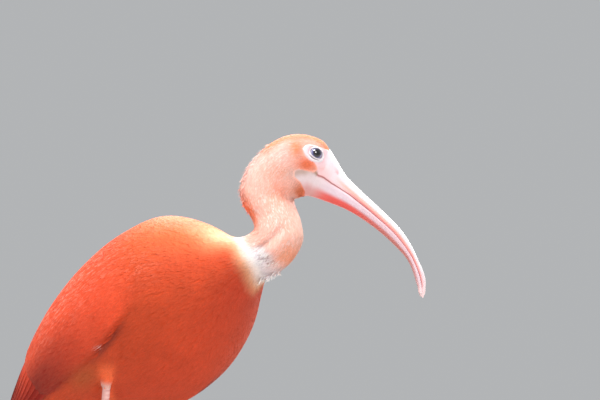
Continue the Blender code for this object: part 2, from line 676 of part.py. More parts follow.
def main():
    clear_scene()
    plumage = finish("scarlet plumage", (0.86, 0.13, 0.04), 0.6)
    neck_plumage = finish("neck plumage", (0.92, 0.38, 0.24), 0.65)
    flight = finish("flight feathers", (0.72, 0.07, 0.04), 0.5)
    bill = finish("bill", (0.85, 0.62, 0.62), 0.35)
    eye = finish("eye", (0.05, 0.05, 0.08), 0.08)
    leg = finish("leg skin", (0.82, 0.60, 0.62), 0.5)
    claw = finish("claw", (0.12, 0.09, 0.09), 0.4)
    make_torso(plumage)
    make_neck(neck_plumage)
    make_head(neck_plumage, eye)
    make_bill(bill)
    for name, side in SIDES.items():
        make_wing("wing_" + name, side, flight)
        make_thigh(name, plumage)
        make_shin(name, leg)
        make_foot(name, leg, claw)
    make_tail(flight)
    set_on_floor()


main()
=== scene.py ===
# The looks of the scarlet ibis: skin, plumage, bill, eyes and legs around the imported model
import math

import bmesh
import bpy
import numpy as np
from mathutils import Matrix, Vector
from mathutils.bvhtree import BVHTree


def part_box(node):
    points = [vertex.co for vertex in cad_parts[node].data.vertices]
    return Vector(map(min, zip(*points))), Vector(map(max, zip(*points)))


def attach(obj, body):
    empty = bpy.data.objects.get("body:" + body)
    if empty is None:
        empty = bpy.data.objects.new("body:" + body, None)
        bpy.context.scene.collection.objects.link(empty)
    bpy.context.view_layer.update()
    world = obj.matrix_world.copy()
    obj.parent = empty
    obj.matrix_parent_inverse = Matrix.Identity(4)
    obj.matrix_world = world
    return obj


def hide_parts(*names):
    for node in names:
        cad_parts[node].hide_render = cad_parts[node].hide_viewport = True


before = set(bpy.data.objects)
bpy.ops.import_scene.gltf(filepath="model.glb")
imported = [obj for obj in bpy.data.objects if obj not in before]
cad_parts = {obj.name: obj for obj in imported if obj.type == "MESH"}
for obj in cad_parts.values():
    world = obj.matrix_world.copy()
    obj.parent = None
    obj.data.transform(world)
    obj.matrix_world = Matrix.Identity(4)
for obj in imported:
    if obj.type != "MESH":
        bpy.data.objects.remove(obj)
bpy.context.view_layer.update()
mm = 0.001
sides = {"right": -1, "left": 1}


# Camera, floor and lights
view = {
    "azimuth": 28,
    "elevation": -3,
    "aim": (77.1, 47.8, 292.5),
    "distance": 2500,
    "width": 468,  # of the picture, at the aim
    "clip": (0.05, 60),  # metres
}
studio = {
    "floor": (0.4, 0.395, 0.385),
    "floorRoughness": 0.85,
    "floorSize": 9,  # metres
    "sky": (0.86, 0.88, 0.9),
    "skyStrength": 0.52,
    # where each light stands in metres from the aim, seen from the camera: rightwards, upwards and nearer
    "lights": {
        "key": {"place": (-0.5, 2.0, 0.35), "size": 0.8, "power": 54, "colour": (1, 0.96, 0.9)},
        "rim": {"place": (-0.1, 1.3, -1.8), "size": 0.7, "power": 58, "colour": (1, 0.97, 0.94)},
        "fill": {"place": (0.5, 1.3, 1.9), "size": 1.0, "power": 31, "colour": (1, 0.97, 0.95)},
        "edge": {"place": (1.2, 0.8, -1.7), "size": 0.6, "power": 42, "colour": (1, 0.97, 0.95)},
    },
}


def viewWays():
    turn, tilt = math.radians(view["azimuth"]), math.radians(view["elevation"])
    back = Vector((math.sin(turn) * math.cos(tilt), -math.cos(turn) * math.cos(tilt), math.sin(tilt)))
    right = Vector((math.cos(turn), math.sin(turn), 0))
    return right, back.cross(right), back


def addObject(name, data):
    made = bpy.data.objects.new(name, data)
    bpy.context.collection.objects.link(made)
    return made


def makeCamera():
    back = viewWays()[2]
    data = bpy.data.cameras.new("camera")
    data.lens = view["distance"] / view["width"] * data.sensor_width
    data.clip_start, data.clip_end = view["clip"]
    camera = addObject("camera", data)
    camera.location = (Vector(view["aim"]) + back * view["distance"]) * mm
    camera.rotation_euler = back.to_track_quat("Z", "Y").to_euler()
    bpy.context.scene.camera = camera


def makeLights():
    right, up, back = viewWays()
    aim = Vector(view["aim"]) * mm
    for name, light in studio["lights"].items():
        data = bpy.data.lights.new(name, "AREA")
        data.shape, data.size, data.energy, data.color = "DISK", light["size"], light["power"], light["colour"]
        lamp = addObject(name, data)
        rightwards, upwards, nearer = light["place"]
        lamp.location = aim + right * rightwards + up * upwards + back * nearer
        lamp.rotation_euler = (lamp.location - aim).to_track_quat("Z", "Y").to_euler()
    world = bpy.data.worlds.new("studio")
    world.use_nodes = True
    sky = world.node_tree.nodes["Background"]
    sky.inputs["Color"].default_value = (*studio["sky"], 1)
    sky.inputs["Strength"].default_value = studio["skyStrength"]
    bpy.context.scene.world = world


def makeFloor():
    mesh = bmesh.new()
    bmesh.ops.create_circle(mesh, cap_ends=True, segments=96, radius=studio["floorSize"])
    data = bpy.data.meshes.new("floor")
    mesh.to_mesh(data)
    mesh.free()
    floor = addObject("floor", data)
    paint = bpy.data.materials.new("floor")
    paint.use_nodes = True
    paint.node_tree.nodes["Principled BSDF"].inputs["Base Color"].default_value = (*studio["floor"], 1)
    paint.node_tree.nodes["Principled BSDF"].inputs["Roughness"].default_value = studio["floorRoughness"]
    data.materials.append(paint)


makeCamera()
makeLights()
makeFloor()
bpy.context.scene.view_settings.view_transform = "Standard"
print("camera and studio")


# Small helpers
def colour(red, green, blue):  # what a picture shows, 0 to 255, as the light that a shader works with
    return tuple(((c / 255 + 0.055) / 1.055) ** 2.4 if c > 10 else c / 3294 for c in (red, green, blue))


def shadesOf(values, *names):  # the colours of a dictionary, or only those named, as light
    return {name: np.array(colour(*values[name])) for name in names or values}


def blend(under, over, share):
    return under + (np.array(over) - under) * np.clip(share, 0, 1)[..., None]


def paintOver(tint, palette, layers):  # layers one after the other, each a colour's name and its share
    for name, share in layers:
        tint = blend(tint, palette[name], share)
    return tint


def mix(a, b, share):
    return a + (b - a) * share


def ramp(value, low, high):
    share = np.clip((np.asarray(value, float) - low) / (high - low), 0, 1)
    return share * share * (3 - 2 * share)


def fade(value, low, high):
    return 1 - ramp(value, low, high)


def bump(value, middle, spread):
    return np.exp(-(((value - middle) / spread) ** 2))


def unit(vectors):
    return vectors / np.maximum(np.linalg.norm(vectors, axis=-1, keepdims=True), 1e-9)


def fromBack(angle):  # degrees from the back, whichever way round
    return np.abs((angle + 180) % 360 - 180)


def runAlong(points):  # how far along a line each of its points is
    return np.concatenate([[0], np.cumsum(np.linalg.norm(np.diff(points, axis=0), axis=1))])


def smoothLine(points, count):  # one smooth curve through the points, evenly sampled
    knots = np.array(points, float)
    ends = np.vstack([2 * knots[0] - knots[1], knots, 2 * knots[-1] - knots[-2]])
    found = []
    for a, b, c, d in zip(ends, ends[1:], ends[2:], ends[3:]):
        for t in np.linspace(0, 1, 24, endpoint=False):
            cubic = (2 * a - 5 * b + 4 * c - d) * t**2 + (3 * b - a - 3 * c + d) * t**3
            found.append(0.5 * (2 * b + (c - a) * t + cubic))
    found = np.vstack(found + [knots[-1]])
    run = runAlong(found)
    wanted = np.linspace(0, run[-1], count)
    return np.stack([np.interp(wanted, run, found[:, k]) for k in range(3)], 1)


def ringEdges(mesh, ring):
    return [mesh.edges.get(pair) for pair in zip(ring, ring[1:] + ring[:1])]


def loft(rings, names, marks, closed=True):  # a skin through rings of points, each point with its named marks
    mesh = bmesh.new()
    layers = [mesh.verts.layers.float.new(name) for name in names]
    ring = bmesh.ops.create_circle(mesh, cap_ends=closed, segments=len(rings[0]), radius=1)["verts"]
    for number, points in enumerate(rings):
        if number:
            made = set(bmesh.ops.extrude_edge_only(mesh, edges=ringEdges(mesh, ring))["geom"])
            ring = [next(e.other_vert(v) for e in v.link_edges if e.other_vert(v) in made) for v in ring]
        for i, vert in enumerate(ring):
            vert.co = points[i]
            for layer, mark in zip(layers, marks[number][i]):
                vert[layer] = mark
    if closed:
        bmesh.ops.edgeloop_fill(mesh, edges=ringEdges(mesh, ring))
    bmesh.ops.recalc_face_normals(mesh, faces=mesh.faces)
    return mesh


def spotsOf(mesh):
    spots = np.empty(len(mesh.vertices) * 3, np.float32)
    mesh.vertices.foreach_get("co", spots)
    return spots


def finished(name, mesh, material=None, sharp=None, scale=mm):  # a bmesh in millimetres, as an object
    data = bpy.data.meshes.new(name)
    mesh.to_mesh(data)
    mesh.free()
    data.vertices.foreach_set("co", spotsOf(data) * scale)
    if material:
        data.materials.append(material)
    data.shade_smooth()
    if sharp:
        data.set_sharp_from_angle(angle=math.radians(sharp))
    return addObject(name, data)


def readMark(mesh, name):
    values = np.empty(len(mesh.vertices), np.float32)
    mesh.attributes[name].data.foreach_get("value", values)
    return values.astype(float)


def setTint(mesh, tints):
    layer = mesh.attributes.new("tint", "FLOAT_COLOR", "POINT")
    full = np.ones((len(tints), 4), np.float32)
    full[:, :3] = tints
    layer.data.foreach_set("color", full.ravel())


channels = ("red", "green", "blue")  # the marks of a loft that carries its colour


def setPaint(mesh):
    setTint(mesh, np.stack([readMark(mesh, channel) for channel in channels], 1))


# The bird's outline, from the tail to the tip of the bill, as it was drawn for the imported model. Each row has
# back and belly in its own upright plane, half the width, how far it is turned left, where between back and
# belly it is widest, and how keeled it is below
outline = {
    "rows": [
        (-143, 104, -133, 94, 13, 0, 0.50, 1.0), (-137, 124, -111, 98, 23, 0, 0.50, 1.0),
        (-126, 152, -86, 106, 31, 0, 0.48, 1.1), (-110, 183, -56, 113, 43, 0, 0.46, 1.8),
        (-88, 215, -23, 121, 54, 0, 0.46, 2.0), (-58, 246, 12, 131, 60, 0, 0.45, 1.8),
        (-24, 269, 40, 146, 62, 0, 0.45, 1.3), (10, 280, 59, 166, 59, 0, 0.46, 1.05),
        (38, 274, 72, 189, 49, 0, 0.48, 1.0), (57, 265, 80, 211, 36, 0, 0.50, 1.0),
        (70, 262, 89, 227, 24, 1, 0.50, 1.0), (79, 264, 103, 234, 18, 4, 0.50, 1.0),
        (84, 269, 115, 245, 17, 8, 0.50, 1.0), (82, 274, 121, 258, 17, 13, 0.50, 1.0),
        (78, 280, 119, 273, 17, 19, 0.50, 1.0), (73, 288, 115, 284, 17, 24, 0.50, 1.0),
        (71, 300, 113, 291, 16, 28, 0.48, 1.0), (76, 314, 115.5, 292, 15, 28, 0.46, 1.0),
        (85, 326, 117, 292.3, 15, 28, 0.44, 1.0), (96, 335.5, 118.3, 292.6, 15, 28, 0.40, 1.1),
        (112, 341.5, 119.5, 293, 14.5, 28, 0.34, 1.2), (127, 340, 120.7, 293.4, 13.3, 28, 0.30, 1.2),
        (135.5, 336, 122, 293.8, 12, 28, 0.36, 1.1), (140.8, 329, 123.6, 294, 9.5, 28, 0.49, 1.0),
        (144.5, 323, 128, 293, 8.5, 28, 0.46, 1.0), (151, 312, 134, 291, 7.0, 28, 0.42, 1.0),
        (163, 299, 152, 284, 5.8, 28, 0.46, 1.0), (180, 283, 170, 273, 5.0, 28, 0.48, 1.0),
        (197, 265, 188, 258, 4.2, 28, 0.48, 1.0), (208, 245, 201, 243, 3.5, 28, 0.48, 1.0),
        (214, 226, 207.5, 225, 2.8, 28, 0.50, 1.0), (212, 215.5, 210.5, 215.8, 1.0, 28, 0.50, 1.0),
    ],
    "origin": (19.3, 3.5, 0),
    "pivot": 70,  # the neck turns about the upright line here
}
birdRows = np.array(outline["rows"], float)


def sectionsAt(place):  # the section at a place, counted in rows, on one smooth curve through them all
    middles = np.stack([birdRows[:, 0] + birdRows[:, 2], birdRows[:, 1] + birdRows[:, 3]], 1) / 2
    spans = np.maximum(np.linalg.norm(np.diff(middles, axis=0), axis=1), 3)
    rates = np.diff(birdRows, axis=0) / spans[:, None]
    inner = (rates[:-1] * spans[1:, None] + rates[1:] * spans[:-1, None]) / (spans[1:] + spans[:-1])[:, None]
    rates = np.vstack([rates[:1], inner, rates[-1:]])
    i = np.clip(np.floor(place).astype(int), 0, len(birdRows) - 2)
    u, span = (place - i)[:, None], spans[i][:, None]
    start, end = 2 * u**3 - 3 * u**2 + 1, 3 * u**2 - 2 * u**3
    leave, arrive = (u**3 - 2 * u**2 + u) * span, (u**3 - u**2) * span
    return (birdRows[i] * start + birdRows[i + 1] * end + rates[i] * leave + rates[i + 1] * arrive).T


def onBird(place, angle, depth=0.0):  # the point at an angle from the back, to the left, sunk by a depth
    place, angle = np.broadcast_arrays(np.asarray(place, float), np.asarray(angle, float))
    backX, backZ, bellyX, bellyZ, half, turn, widest, keel = sectionsAt(place)
    turn = np.radians(turn)
    cosine, sine, pivot = np.cos(turn), np.sin(turn), outline["pivot"]
    back = np.stack([pivot + (backX - pivot) * cosine, (backX - pivot) * sine, backZ], 1)
    belly = np.stack([pivot + (bellyX - pivot) * cosine, (bellyX - pivot) * sine, bellyZ], 1)
    middle = back + (belly - back) * widest[:, None]
    up, across = np.cos(np.radians(angle)), np.sin(np.radians(angle))
    keeled = np.sign(across) * np.abs(across) ** (1 - np.minimum(up, 0) * (keel - 1))
    reach = np.where(up[:, None] > 0, (back - middle) * up[:, None], (middle - belly) * up[:, None])
    left = np.stack([-sine, cosine, 0 * sine], 1)
    spoke = reach + left * (half * keeled)[:, None]
    length = np.maximum(np.linalg.norm(spoke, axis=1), 1e-6)
    return middle + spoke * (1 - depth / length)[:, None] - np.array(outline["origin"])


legs = {
    "right": {"thigh": (-27.3, -38.5, 184), "bare": (-42.5, -44.5, 148), "ankle": (-51.3, -38.5, 98),
              "foot": (-43.3, -33.5, 10)},
    "left": {"thigh": (-15.3, 31.5, 186), "bare": (-32.3, 37.5, 150), "ankle": (-38.3, 31.5, 99),
             "foot": (-28.3, 26.5, 10)},
    "thighRadius": 16,
    "kneeRadius": 3.3,
    "rounded": 0.25,  # the share of the thigh that rounds its top
    "coat": 2.0,
}


def legPoints(side):
    return {key: np.array(value, float) for key, value in legs[side].items()}


def onThigh(side, place, angle, depth=0.0):  # place runs from 10 at the top to 0 where the leg is bare
    leg = legPoints(side)
    place, angle = np.broadcast_arrays(np.asarray(place, float), np.asarray(angle, float))
    down = unit(leg["ankle"] - leg["bare"])
    line = smoothLine([leg["thigh"], mix(leg["thigh"], leg["bare"], 0.55), leg["bare"] - down * 5,
                       leg["bare"] + down * 2], 101)
    run = np.linspace(-10, 0, 101)
    middle, way = (np.stack([np.interp(-place, run, values[:, k]) for k in range(3)], 1)
                   for values in (line, unit(np.gradient(line, axis=0))))
    way = unit(way)
    share, rounded = np.clip(1 - place / 10, 0, 1), legs["rounded"]
    lower = np.clip((share - rounded) / (1 - rounded), 0, 1)
    wide = mix(legs["thighRadius"], legs["kneeRadius"], lower**0.85)
    wide *= np.sqrt(np.clip(1 - (1 - np.minimum(share / rounded, 1)) ** 2 * 0.92, 0, 1))
    front = unit(np.cross([0, 1, 0], way))
    left = np.cross(way, front)
    turned = np.radians(angle)
    spoke = front * np.cos(turned)[:, None] + left * np.sin(turned)[:, None]
    return middle + spoke * (wide - depth)[:, None]


# The head's own directions, from the middles of the eyes
eyeCentres = {name: (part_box("eye_" + name)[0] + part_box("eye_" + name)[1]) / 2 / mm for name in sides}
headMiddle = (eyeCentres["left"] + eyeCentres["right"]) / 2
headLeft = (eyeCentres["left"] - eyeCentres["right"]).normalized()
headFront = headLeft.cross(Vector((0, 0, 1))).normalized()
eye = {
    "radius": 6.3,
    "sunk": 4.2,  # how far its centre lies behind the rim of the lids
    "lean": (0.4, 0.17),  # how the rim leans ahead and up
    "half": (5.4, 3.9),  # half the opening's length and height
    "tilt": -25,
    "flat": 0.3,  # how far the ball lies inside its radius
    "swell": 0.55,  # how far its clear front stands out
    # the colours from the middle of the pupil outwards, by the share of a right angle
    "stops": [(0.0, (6, 6, 10)), (0.2, (8, 7, 11)), (0.22, (40, 30, 32)), (0.3, (34, 28, 36)),
              (0.34, (66, 66, 104)), (0.42, (112, 116, 160)), (0.5, (150, 148, 180)), (0.62, (196, 186, 198))],
}


def inHead(points):  # forwards, leftwards and upwards from between the eyes
    out = points - np.array(headMiddle)
    return out @ np.array(headFront), out @ np.array(headLeft), out[:, 2]


def eyeWays(side):  # the middle of the rim, the way out of it, and its longer and shorter ways
    out = (headLeft * sides[side] + headFront * eye["lean"][0] + Vector((0, 0, eye["lean"][1]))).normalized()
    ahead = (headFront - out * headFront.dot(out)).normalized()
    up = out.cross(ahead) * (-1 if side == "left" else 1)
    up = up if up.z > 0 else -up
    tilt = math.radians(eye["tilt"])
    longer = ahead * math.cos(tilt) + up * math.sin(tilt)
    shorter = up * math.cos(tilt) - ahead * math.sin(tilt)
    return [np.array(v) for v in (eyeCentres[side] + out * eye["sunk"], out, longer, shorter)]


face = {
    # the edge of the bare skin, forwards and upwards from between the eyes, seen from the side
    "edge": [(11.4, 3.0), (4.8, 5.6), (-0.6, 6.1), (-5.1, 5.6), (-8.8, 3.1), (-7.5, -1.0), (-4.3, -4.7),
             (-0.5, -6.5), (1.7, -9.2), (2.1, -11.9), (-0.6, -13.8), (-6.3, -12.1), (-12.6, -11.2),
             (-15.4, -13.3), (-15.4, -17.3), (-10.7, -21.6), (-7.4, -28.6), (-7.9, -30.8), (0, -45),
             (60, -45), (60, 3.0)],
    "bare": (244, 208, 216),
    "rim": (236, 228, 234),
    "blush": (246, 176, 166),
    "gape": (172, 134, 112),
    "jawPale": (226, 212, 216),
    "jawRed": (208, 112, 102),
    # painted shade in the fold under the lower lid
    "fold": (140, 130, 140),
    # how far below its middle the mouth's line runs along the head and bill, in degrees
    "mouthPlaces": (19, 20.8, 22, 22.7, 23.4, 24.2, 24.85, 25.3, 25.8, 27, 31),
    "mouthAngles": (18, 22, 18, 10, 6, 7, 5.5, 1.5, -2, -1, 0),
}


def toEdge(forward, upward):  # distance to the edge of the bare skin, below zero inside it
    corners = np.array(face["edge"], float)
    here = np.stack([forward, upward], 1)
    nearest, inside = np.full(len(here), 1e9), np.zeros(len(here), bool)
    for a, b in zip(corners, np.roll(corners, -1, axis=0)):
        step = b - a
        share = np.clip(((here - a) @ step) / (step @ step), 0, 1)
        nearest = np.minimum(nearest, np.linalg.norm(here - a - share[:, None] * step, axis=1))
        if abs(step[1]) > 1e-6:
            crosses = (a[1] > here[:, 1]) != (b[1] > here[:, 1])
            inside ^= crosses & (here[:, 0] < a[0] + (here[:, 1] - a[1]) / step[1] * step[0])
    return np.where(inside, -nearest, nearest)


# The colours of the plumage, as functions of the place along the bird and the angle from its back
plumage = {
    "breast": (212, 68, 27),
    # painted shade on the lower front of the breast
    "front": (198, 54, 22),
    # the back's lighter orange: partly its own colour, partly painted light from above
    "back": (255, 120, 64),
    # painted highlight: the glow of light on the top of the body towards the neck
    "paintedGlow": (255, 202, 152),
    "belly": (212, 64, 28),
    "wing": (246, 78, 40),
    # a deeper red of the rear, partly its own colour, partly painted shade
    "rear": (150, 28, 16),
    "flight": (206, 48, 36),
    "wingTips": (26, 24, 38),
    "neck": (255, 188, 171),
    "neckBack": (255, 128, 82),
    "neckFront": (252, 206, 186),
    "neckUnder": (252, 158, 120),
    "throat": (222, 118, 80),
    "white": (255, 246, 242),
    "down": (234, 226, 232),
    "crown": (255, 152, 108),
    # pale nape: partly its own colour, partly a painted highlight of the rim lit from behind
    "nape": (254, 202, 190),
    "side": (255, 200, 188),
    "ear": (242, 160, 130),
    "cheek": (255, 128, 88),
    "jaw": (222, 206, 202),
    "thigh": (255, 106, 58),
    "thighEnd": (240, 200, 190),
    # painted shadow behind the thigh, browner than the flank
    "thighShadow": (184, 78, 34),
    "streak": (255, 160, 140),
    # darker feathers at random, and painted shade in the fold across the neck
    "dark": (150, 84, 70),
    # painted shade in the furrow under the wing's lower edge
    "furrow": (120, 30, 22),
}
shades = shadesOf(plumage)
faceShades = shadesOf(face, "bare", "rim", "blush", "gape", "jawPale", "jawRed", "fold")

# the wing's lower edge and the fold across the neck, as angles from the back, and where the white neck starts
lowerEdge = {
    "places": (2.5, 3.2, 3.9, 4.4, 5.1, 5.9, 6.3),
    "angles": (99.5, 105, 106, 106.5, 102.5, 97, 94.5),
}
neckCrease = {
    "places": (10.3, 10.8, 11.4, 12.1, 12.8, 13.4, 14.0),
    "angles": (80, 82, 84.5, 91.5, 99, 108.5, 122),
}
neckStart = {
    "places": (10.3, 10.44, 10.76, 10.76, 10.7, 10.36, 10.2),
    "angles": (0, 19, 68, 106, 127, 163, 180),
}
# where single feathers are lighter or darker than the rest: middles and spreads, how much, and the colour
patches = {
    "scapulars": {"place": (4.7, 1.5), "angle": (42, 26), "light": 0.45, "dark": 0.1, "tint": "streak"},
    "shoulder": {"place": (6.7, 0.5), "angle": (74, 14), "light": 0.1, "dark": 0.0, "tint": "streak"},
    "neck": {"place": (14.2, 2.4), "angle": (100, 70), "light": 0.4, "dark": 0.05, "tint": "white"},
    "tick": {"place": (4.86, 0.05), "angle": (103.5, 1.4), "light": 1.1, "dark": 0, "tint": "white"},
    "down": {"place": (11.2, 0.36), "angle": (112, 42), "light": 0.9, "dark": 0.5, "tint": "white"},
    "head": {"place": (18.5, 1.6), "angle": (60, 50), "light": 0.3, "dark": 0.05, "tint": "white"},
}


def angleOf(curve, place):
    return np.interp(place, curve["places"], curve["angles"])


def thighShare(points):  # how far a place belongs to the feathered top of a leg, seen from its side
    found = np.zeros(len(points))
    for side in sides:
        top, low = legPoints(side)["thigh"], legPoints(side)["bare"]
        share = (top[2] - points[:, 2]) / (top[2] - low[2])
        off = np.abs(points[:, 0] - mix(top[0], low[0], share))
        near = fade(off / mix(12, 4.5, np.clip(share, 0, 1)), 0.3, 1.5)
        found += near * ramp(share, 0.42, 0.75) * (sides[side] * points[:, 1] > 15)
    return found


def plumageColour(place, angle, points):
    around, edge = fromBack(angle), angleOf(lowerEdge, place)
    onLeft = ramp(np.sin(np.radians(angle)), -0.05, 0.04)
    tint = paintOver(np.broadcast_to(shades["breast"], (len(place), 3)), shades, (
        # lighter on the back: partly its own colour, partly painted light from above
        ("back", ramp(place, 5.2, 7.4) * fade(around, 15, 88)),
        # painted highlight on the top of the body towards the neck
        ("paintedGlow", ramp(place, 7.6, 9.6) * fade(around, 12, 80) * 0.9),
        ("belly", ramp(around, 95, 150) * fade(place, 7, 10)),
        # painted shade on the lower front of the breast
        ("front", ramp(place, 6.5, 9.5) * ramp(around, 88, 140)),
        ("wing", fade(place, 5.4, 6.8) * fade(around, edge - 4, edge + 2)),
        # painted shade on the lower rear of the wing
        ("rear", fade(place, 2.6, 6.0) * ramp(around, 48, 92) * fade(around, edge, edge + 8)),
        # deeper red towards the tail, partly its own colour, partly painted shade
        ("rear", 0.8 * fade(place, 0.8, 2.8)),
        # painted shadow behind and below the thigh
        ("thighShadow", 0.9 * bump(place, 4.15, 0.45) * bump(around, 114, 8)),
        ("thigh", thighShare(points)),
        # painted shade in the furrow under the wing's lower edge
        ("furrow", 0.75 * bump(around, edge + 2.5, 3) * ramp(place, 4.4, 4.95) * fade(place, 5.3, 5.9)),
        # painted shadow along the belly's midline on the left, where the far side lies in shade
        ("rear", 0.8 * onLeft * ramp(around, 152, 168) * bump(place, 5.95, 0.5)),
    ))
    start = np.interp(around, neckStart["angles"], neckStart["places"])
    tint = paintOver(tint, shades, (
        # painted highlight just before the white of the neck
        ("paintedGlow", ramp(place, start - 1.1, start - 0.3) * 0.7),
        ("white", ramp(place, start - 0.6, start)),
        ("down", ramp(place, start - 0.05, start + 0.15) * ramp(around, 62, 92)),
        ("neck", ramp(place, 11.3, 11.9) + ramp(place, start, start + 0.5) * fade(around, 64, 88)),
        ("neckUnder", bump(place, 12.0, 0.9) * ramp(around, 106, 146) * 0.85),
        # painted shade in the fold across the neck
        ("dark", 0.2 * bump(around, angleOf(neckCrease, place), 8) * bump(place, 12.0, 1.0)),
        ("neckBack", bump(place, 14.3, 1.5) * fade(around, 38, 62)),
        ("neckBack", 0.45 * bump(place, 16.5, 1.2) * bump(around, 116, 24)),
        ("neckFront", bump(place, 13.7, 0.9) * ramp(around, 110, 150) * 0.7),
        ("throat", ramp(place, 16.6, 18.8) * ramp(around, 122, 148)),
        # pale nape, partly a painted rim highlight
        ("nape", bump(place, 17.2, 1.4) * fade(around, 30, 75)),
    ))
    forward, _, upward = inHead(points)
    isHead = ramp(place, 15.8, 17.6)
    return paintOver(tint, shades, (
        ("side", isHead * bump(forward, -24, 13) * bump(upward, 4, 14) * ramp(around, 30, 60)),
        ("crown", ramp(place, 17.8, 18.8) * fade(around, 22, 52)),
        ("crown", isHead * bump(forward, -14, 5) * bump(upward, 5, 7)),
        ("ear", isHead * bump(forward, -26, 8) * bump(upward, -13, 5) * 0.5),
        ("cheek", isHead * bump(forward, -6, 8) * bump(upward, -8, 5.5) * ramp(around, 60, 80) * 1.1),
        ("jaw", isHead * bump(forward, -17, 4) * bump(upward, -15, 4) * 0.3),
    ))


def speckle(tint, place, angle, chance):  # chance is one random number for each feather, around 0
    for patch in patches.values():
        there = bump(place, *patch["place"]) * bump(fromBack(angle), *patch["angle"])
        tint = blend(tint, shades[patch["tint"]], there * patch["light"] * np.clip(chance, 0, 1.6))
        tint = blend(tint, shades["dark"], there * patch["dark"] * np.clip(-chance - 0.3, 0, 1.3))
    return tint


# Skin: the flesh as one surface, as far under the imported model's surface as the coat is deep
skin = {
    "corners": 168,
    "steps": {"rear": (1.7, 10, 90), "neck": (10, 17, 60), "head": (17, 23.9, 120)},  # from, to and rings
    "coat": {"head": 0.7, "neck": 1.4, "body": 2.6},
    "rump": (12, 1.7, 3.0),  # how much the rump draws in under the tail, and where
    "blendThigh": 6,  # smoothing where the thighs leave the body
    # how deep things are cut into the surface, below zero where they stand out
    "underWing": (0.9, 3.3),  # behind and ahead
    "wingFront": 0.5,
    "neckFold": (2.0, -0.8),  # and the swelling below it
    "socket": 5.0,
    "aroundLids": 0.35,
    "lore": 0.9,
    "cheek": -0.5,
    "mouth": 0.45,
    "underBill": 1.2,
}


def rumpDepth(place):
    most, start, end = skin["rump"]
    return most * fade(place, start, end)


def furrow(place, angle):  # the wing's lower edge stands over the flank, and the neck is folded
    around, edge, crease = fromBack(angle), angleOf(lowerEdge, place), angleOf(neckCrease, place)
    under = mix(*skin["underWing"], ramp(place, 4.3, 4.95)) * ramp(around, edge - 2, edge + 2)
    cut, swelling = skin["neckFold"]
    fold = cut * bump(around, crease, 10) + swelling * bump(around, crease + 28, 16)
    front = np.interp(around, [30, 40, 71, 82], [7.1, 7.0, 6.6, 6.1])
    return (under * fade(around, edge + 2, edge + 20) * ramp(place, 2.0, 3.0) * fade(place, 5.3, 6.3)
            + skin["wingFront"] * bump(place, front, 0.14) * ramp(around, 28, 45) * fade(around, 74, 86)
            + fold * ramp(place, 10.7, 11.6) * fade(place, 12.9, 13.9))


def coatDepth(place, points):
    deep = mix(skin["coat"]["body"], skin["coat"]["neck"], ramp(place, 9.5, 11.5))
    deep = mix(deep, skin["coat"]["head"], ramp(place, 15.5, 17.5))
    forward, _, upward = inHead(points)
    return deep * np.where(place > 15.5, ramp(toEdge(forward, upward), -0.6, 1.6), 1)


def faceDepth(points):  # the sockets, folds and hollows of the face
    forward, leftward, upward = inHead(points)
    deep = np.zeros(len(points))
    for side in sides:
        rim, out, longer, shorter = eyeWays(side)
        off = points - rim
        radius = np.hypot(off @ longer / eye["half"][0], off @ shorter / eye["half"][1])
        near = (np.abs(off @ out) < 9) & (sides[side] * leftward > 3)
        deep += near * skin["socket"] * fade(radius, 0.95, 1.3)
        deep += near * skin["aroundLids"] * bump(radius, 1.72, 0.16)
    flank = ramp(np.abs(leftward), 2.5, 5)
    return deep + flank * (skin["lore"] * bump(forward, 14.5, 5.0) * bump(upward, -6, 4.5)
                           + skin["cheek"] * bump(forward, 4, 5) * bump(upward, -9.5, 2.2))


def joinThigh(body, side):
    turned = np.arange(48) * 7.5
    steps = [np.full(48, place) for place in np.linspace(9.9, 0, 34)]
    rings = [onThigh(side, at, turned, legs["coat"] * ramp(at, 0, 1.5) + 0.3) for at in steps]
    marks = [np.stack([100 + at, turned], 1) for at in steps]
    thigh = finished("thigh", loft(rings, ("place", "angle"), marks), scale=1)
    join = body.modifiers.new("join", "BOOLEAN")
    join.operation, join.object, join.solver = "UNION", thigh, "EXACT"
    data = bpy.data.meshes.new_from_object(body.evaluated_get(bpy.context.evaluated_depsgraph_get()))
    body.modifiers.clear()
    body.data = data
    bpy.data.objects.remove(thigh)


def smoothJoin(body):
    mesh = bmesh.new()
    mesh.from_mesh(body.data)
    layer = mesh.verts.layers.float["place"]
    near = {v for v in mesh.verts
            if any((e.other_vert(v)[layer] > 50) != (v[layer] > 50) for e in v.link_edges)}
    for _ in range(3):
        near |= {e.other_vert(v) for v in near for e in v.link_edges}
    for _ in range(skin["blendThigh"]):
        bmesh.ops.smooth_vert(mesh, verts=list(near), factor=0.5,
                              use_axis_x=True, use_axis_y=True, use_axis_z=True)
    mesh.to_mesh(body.data)
    mesh.free()


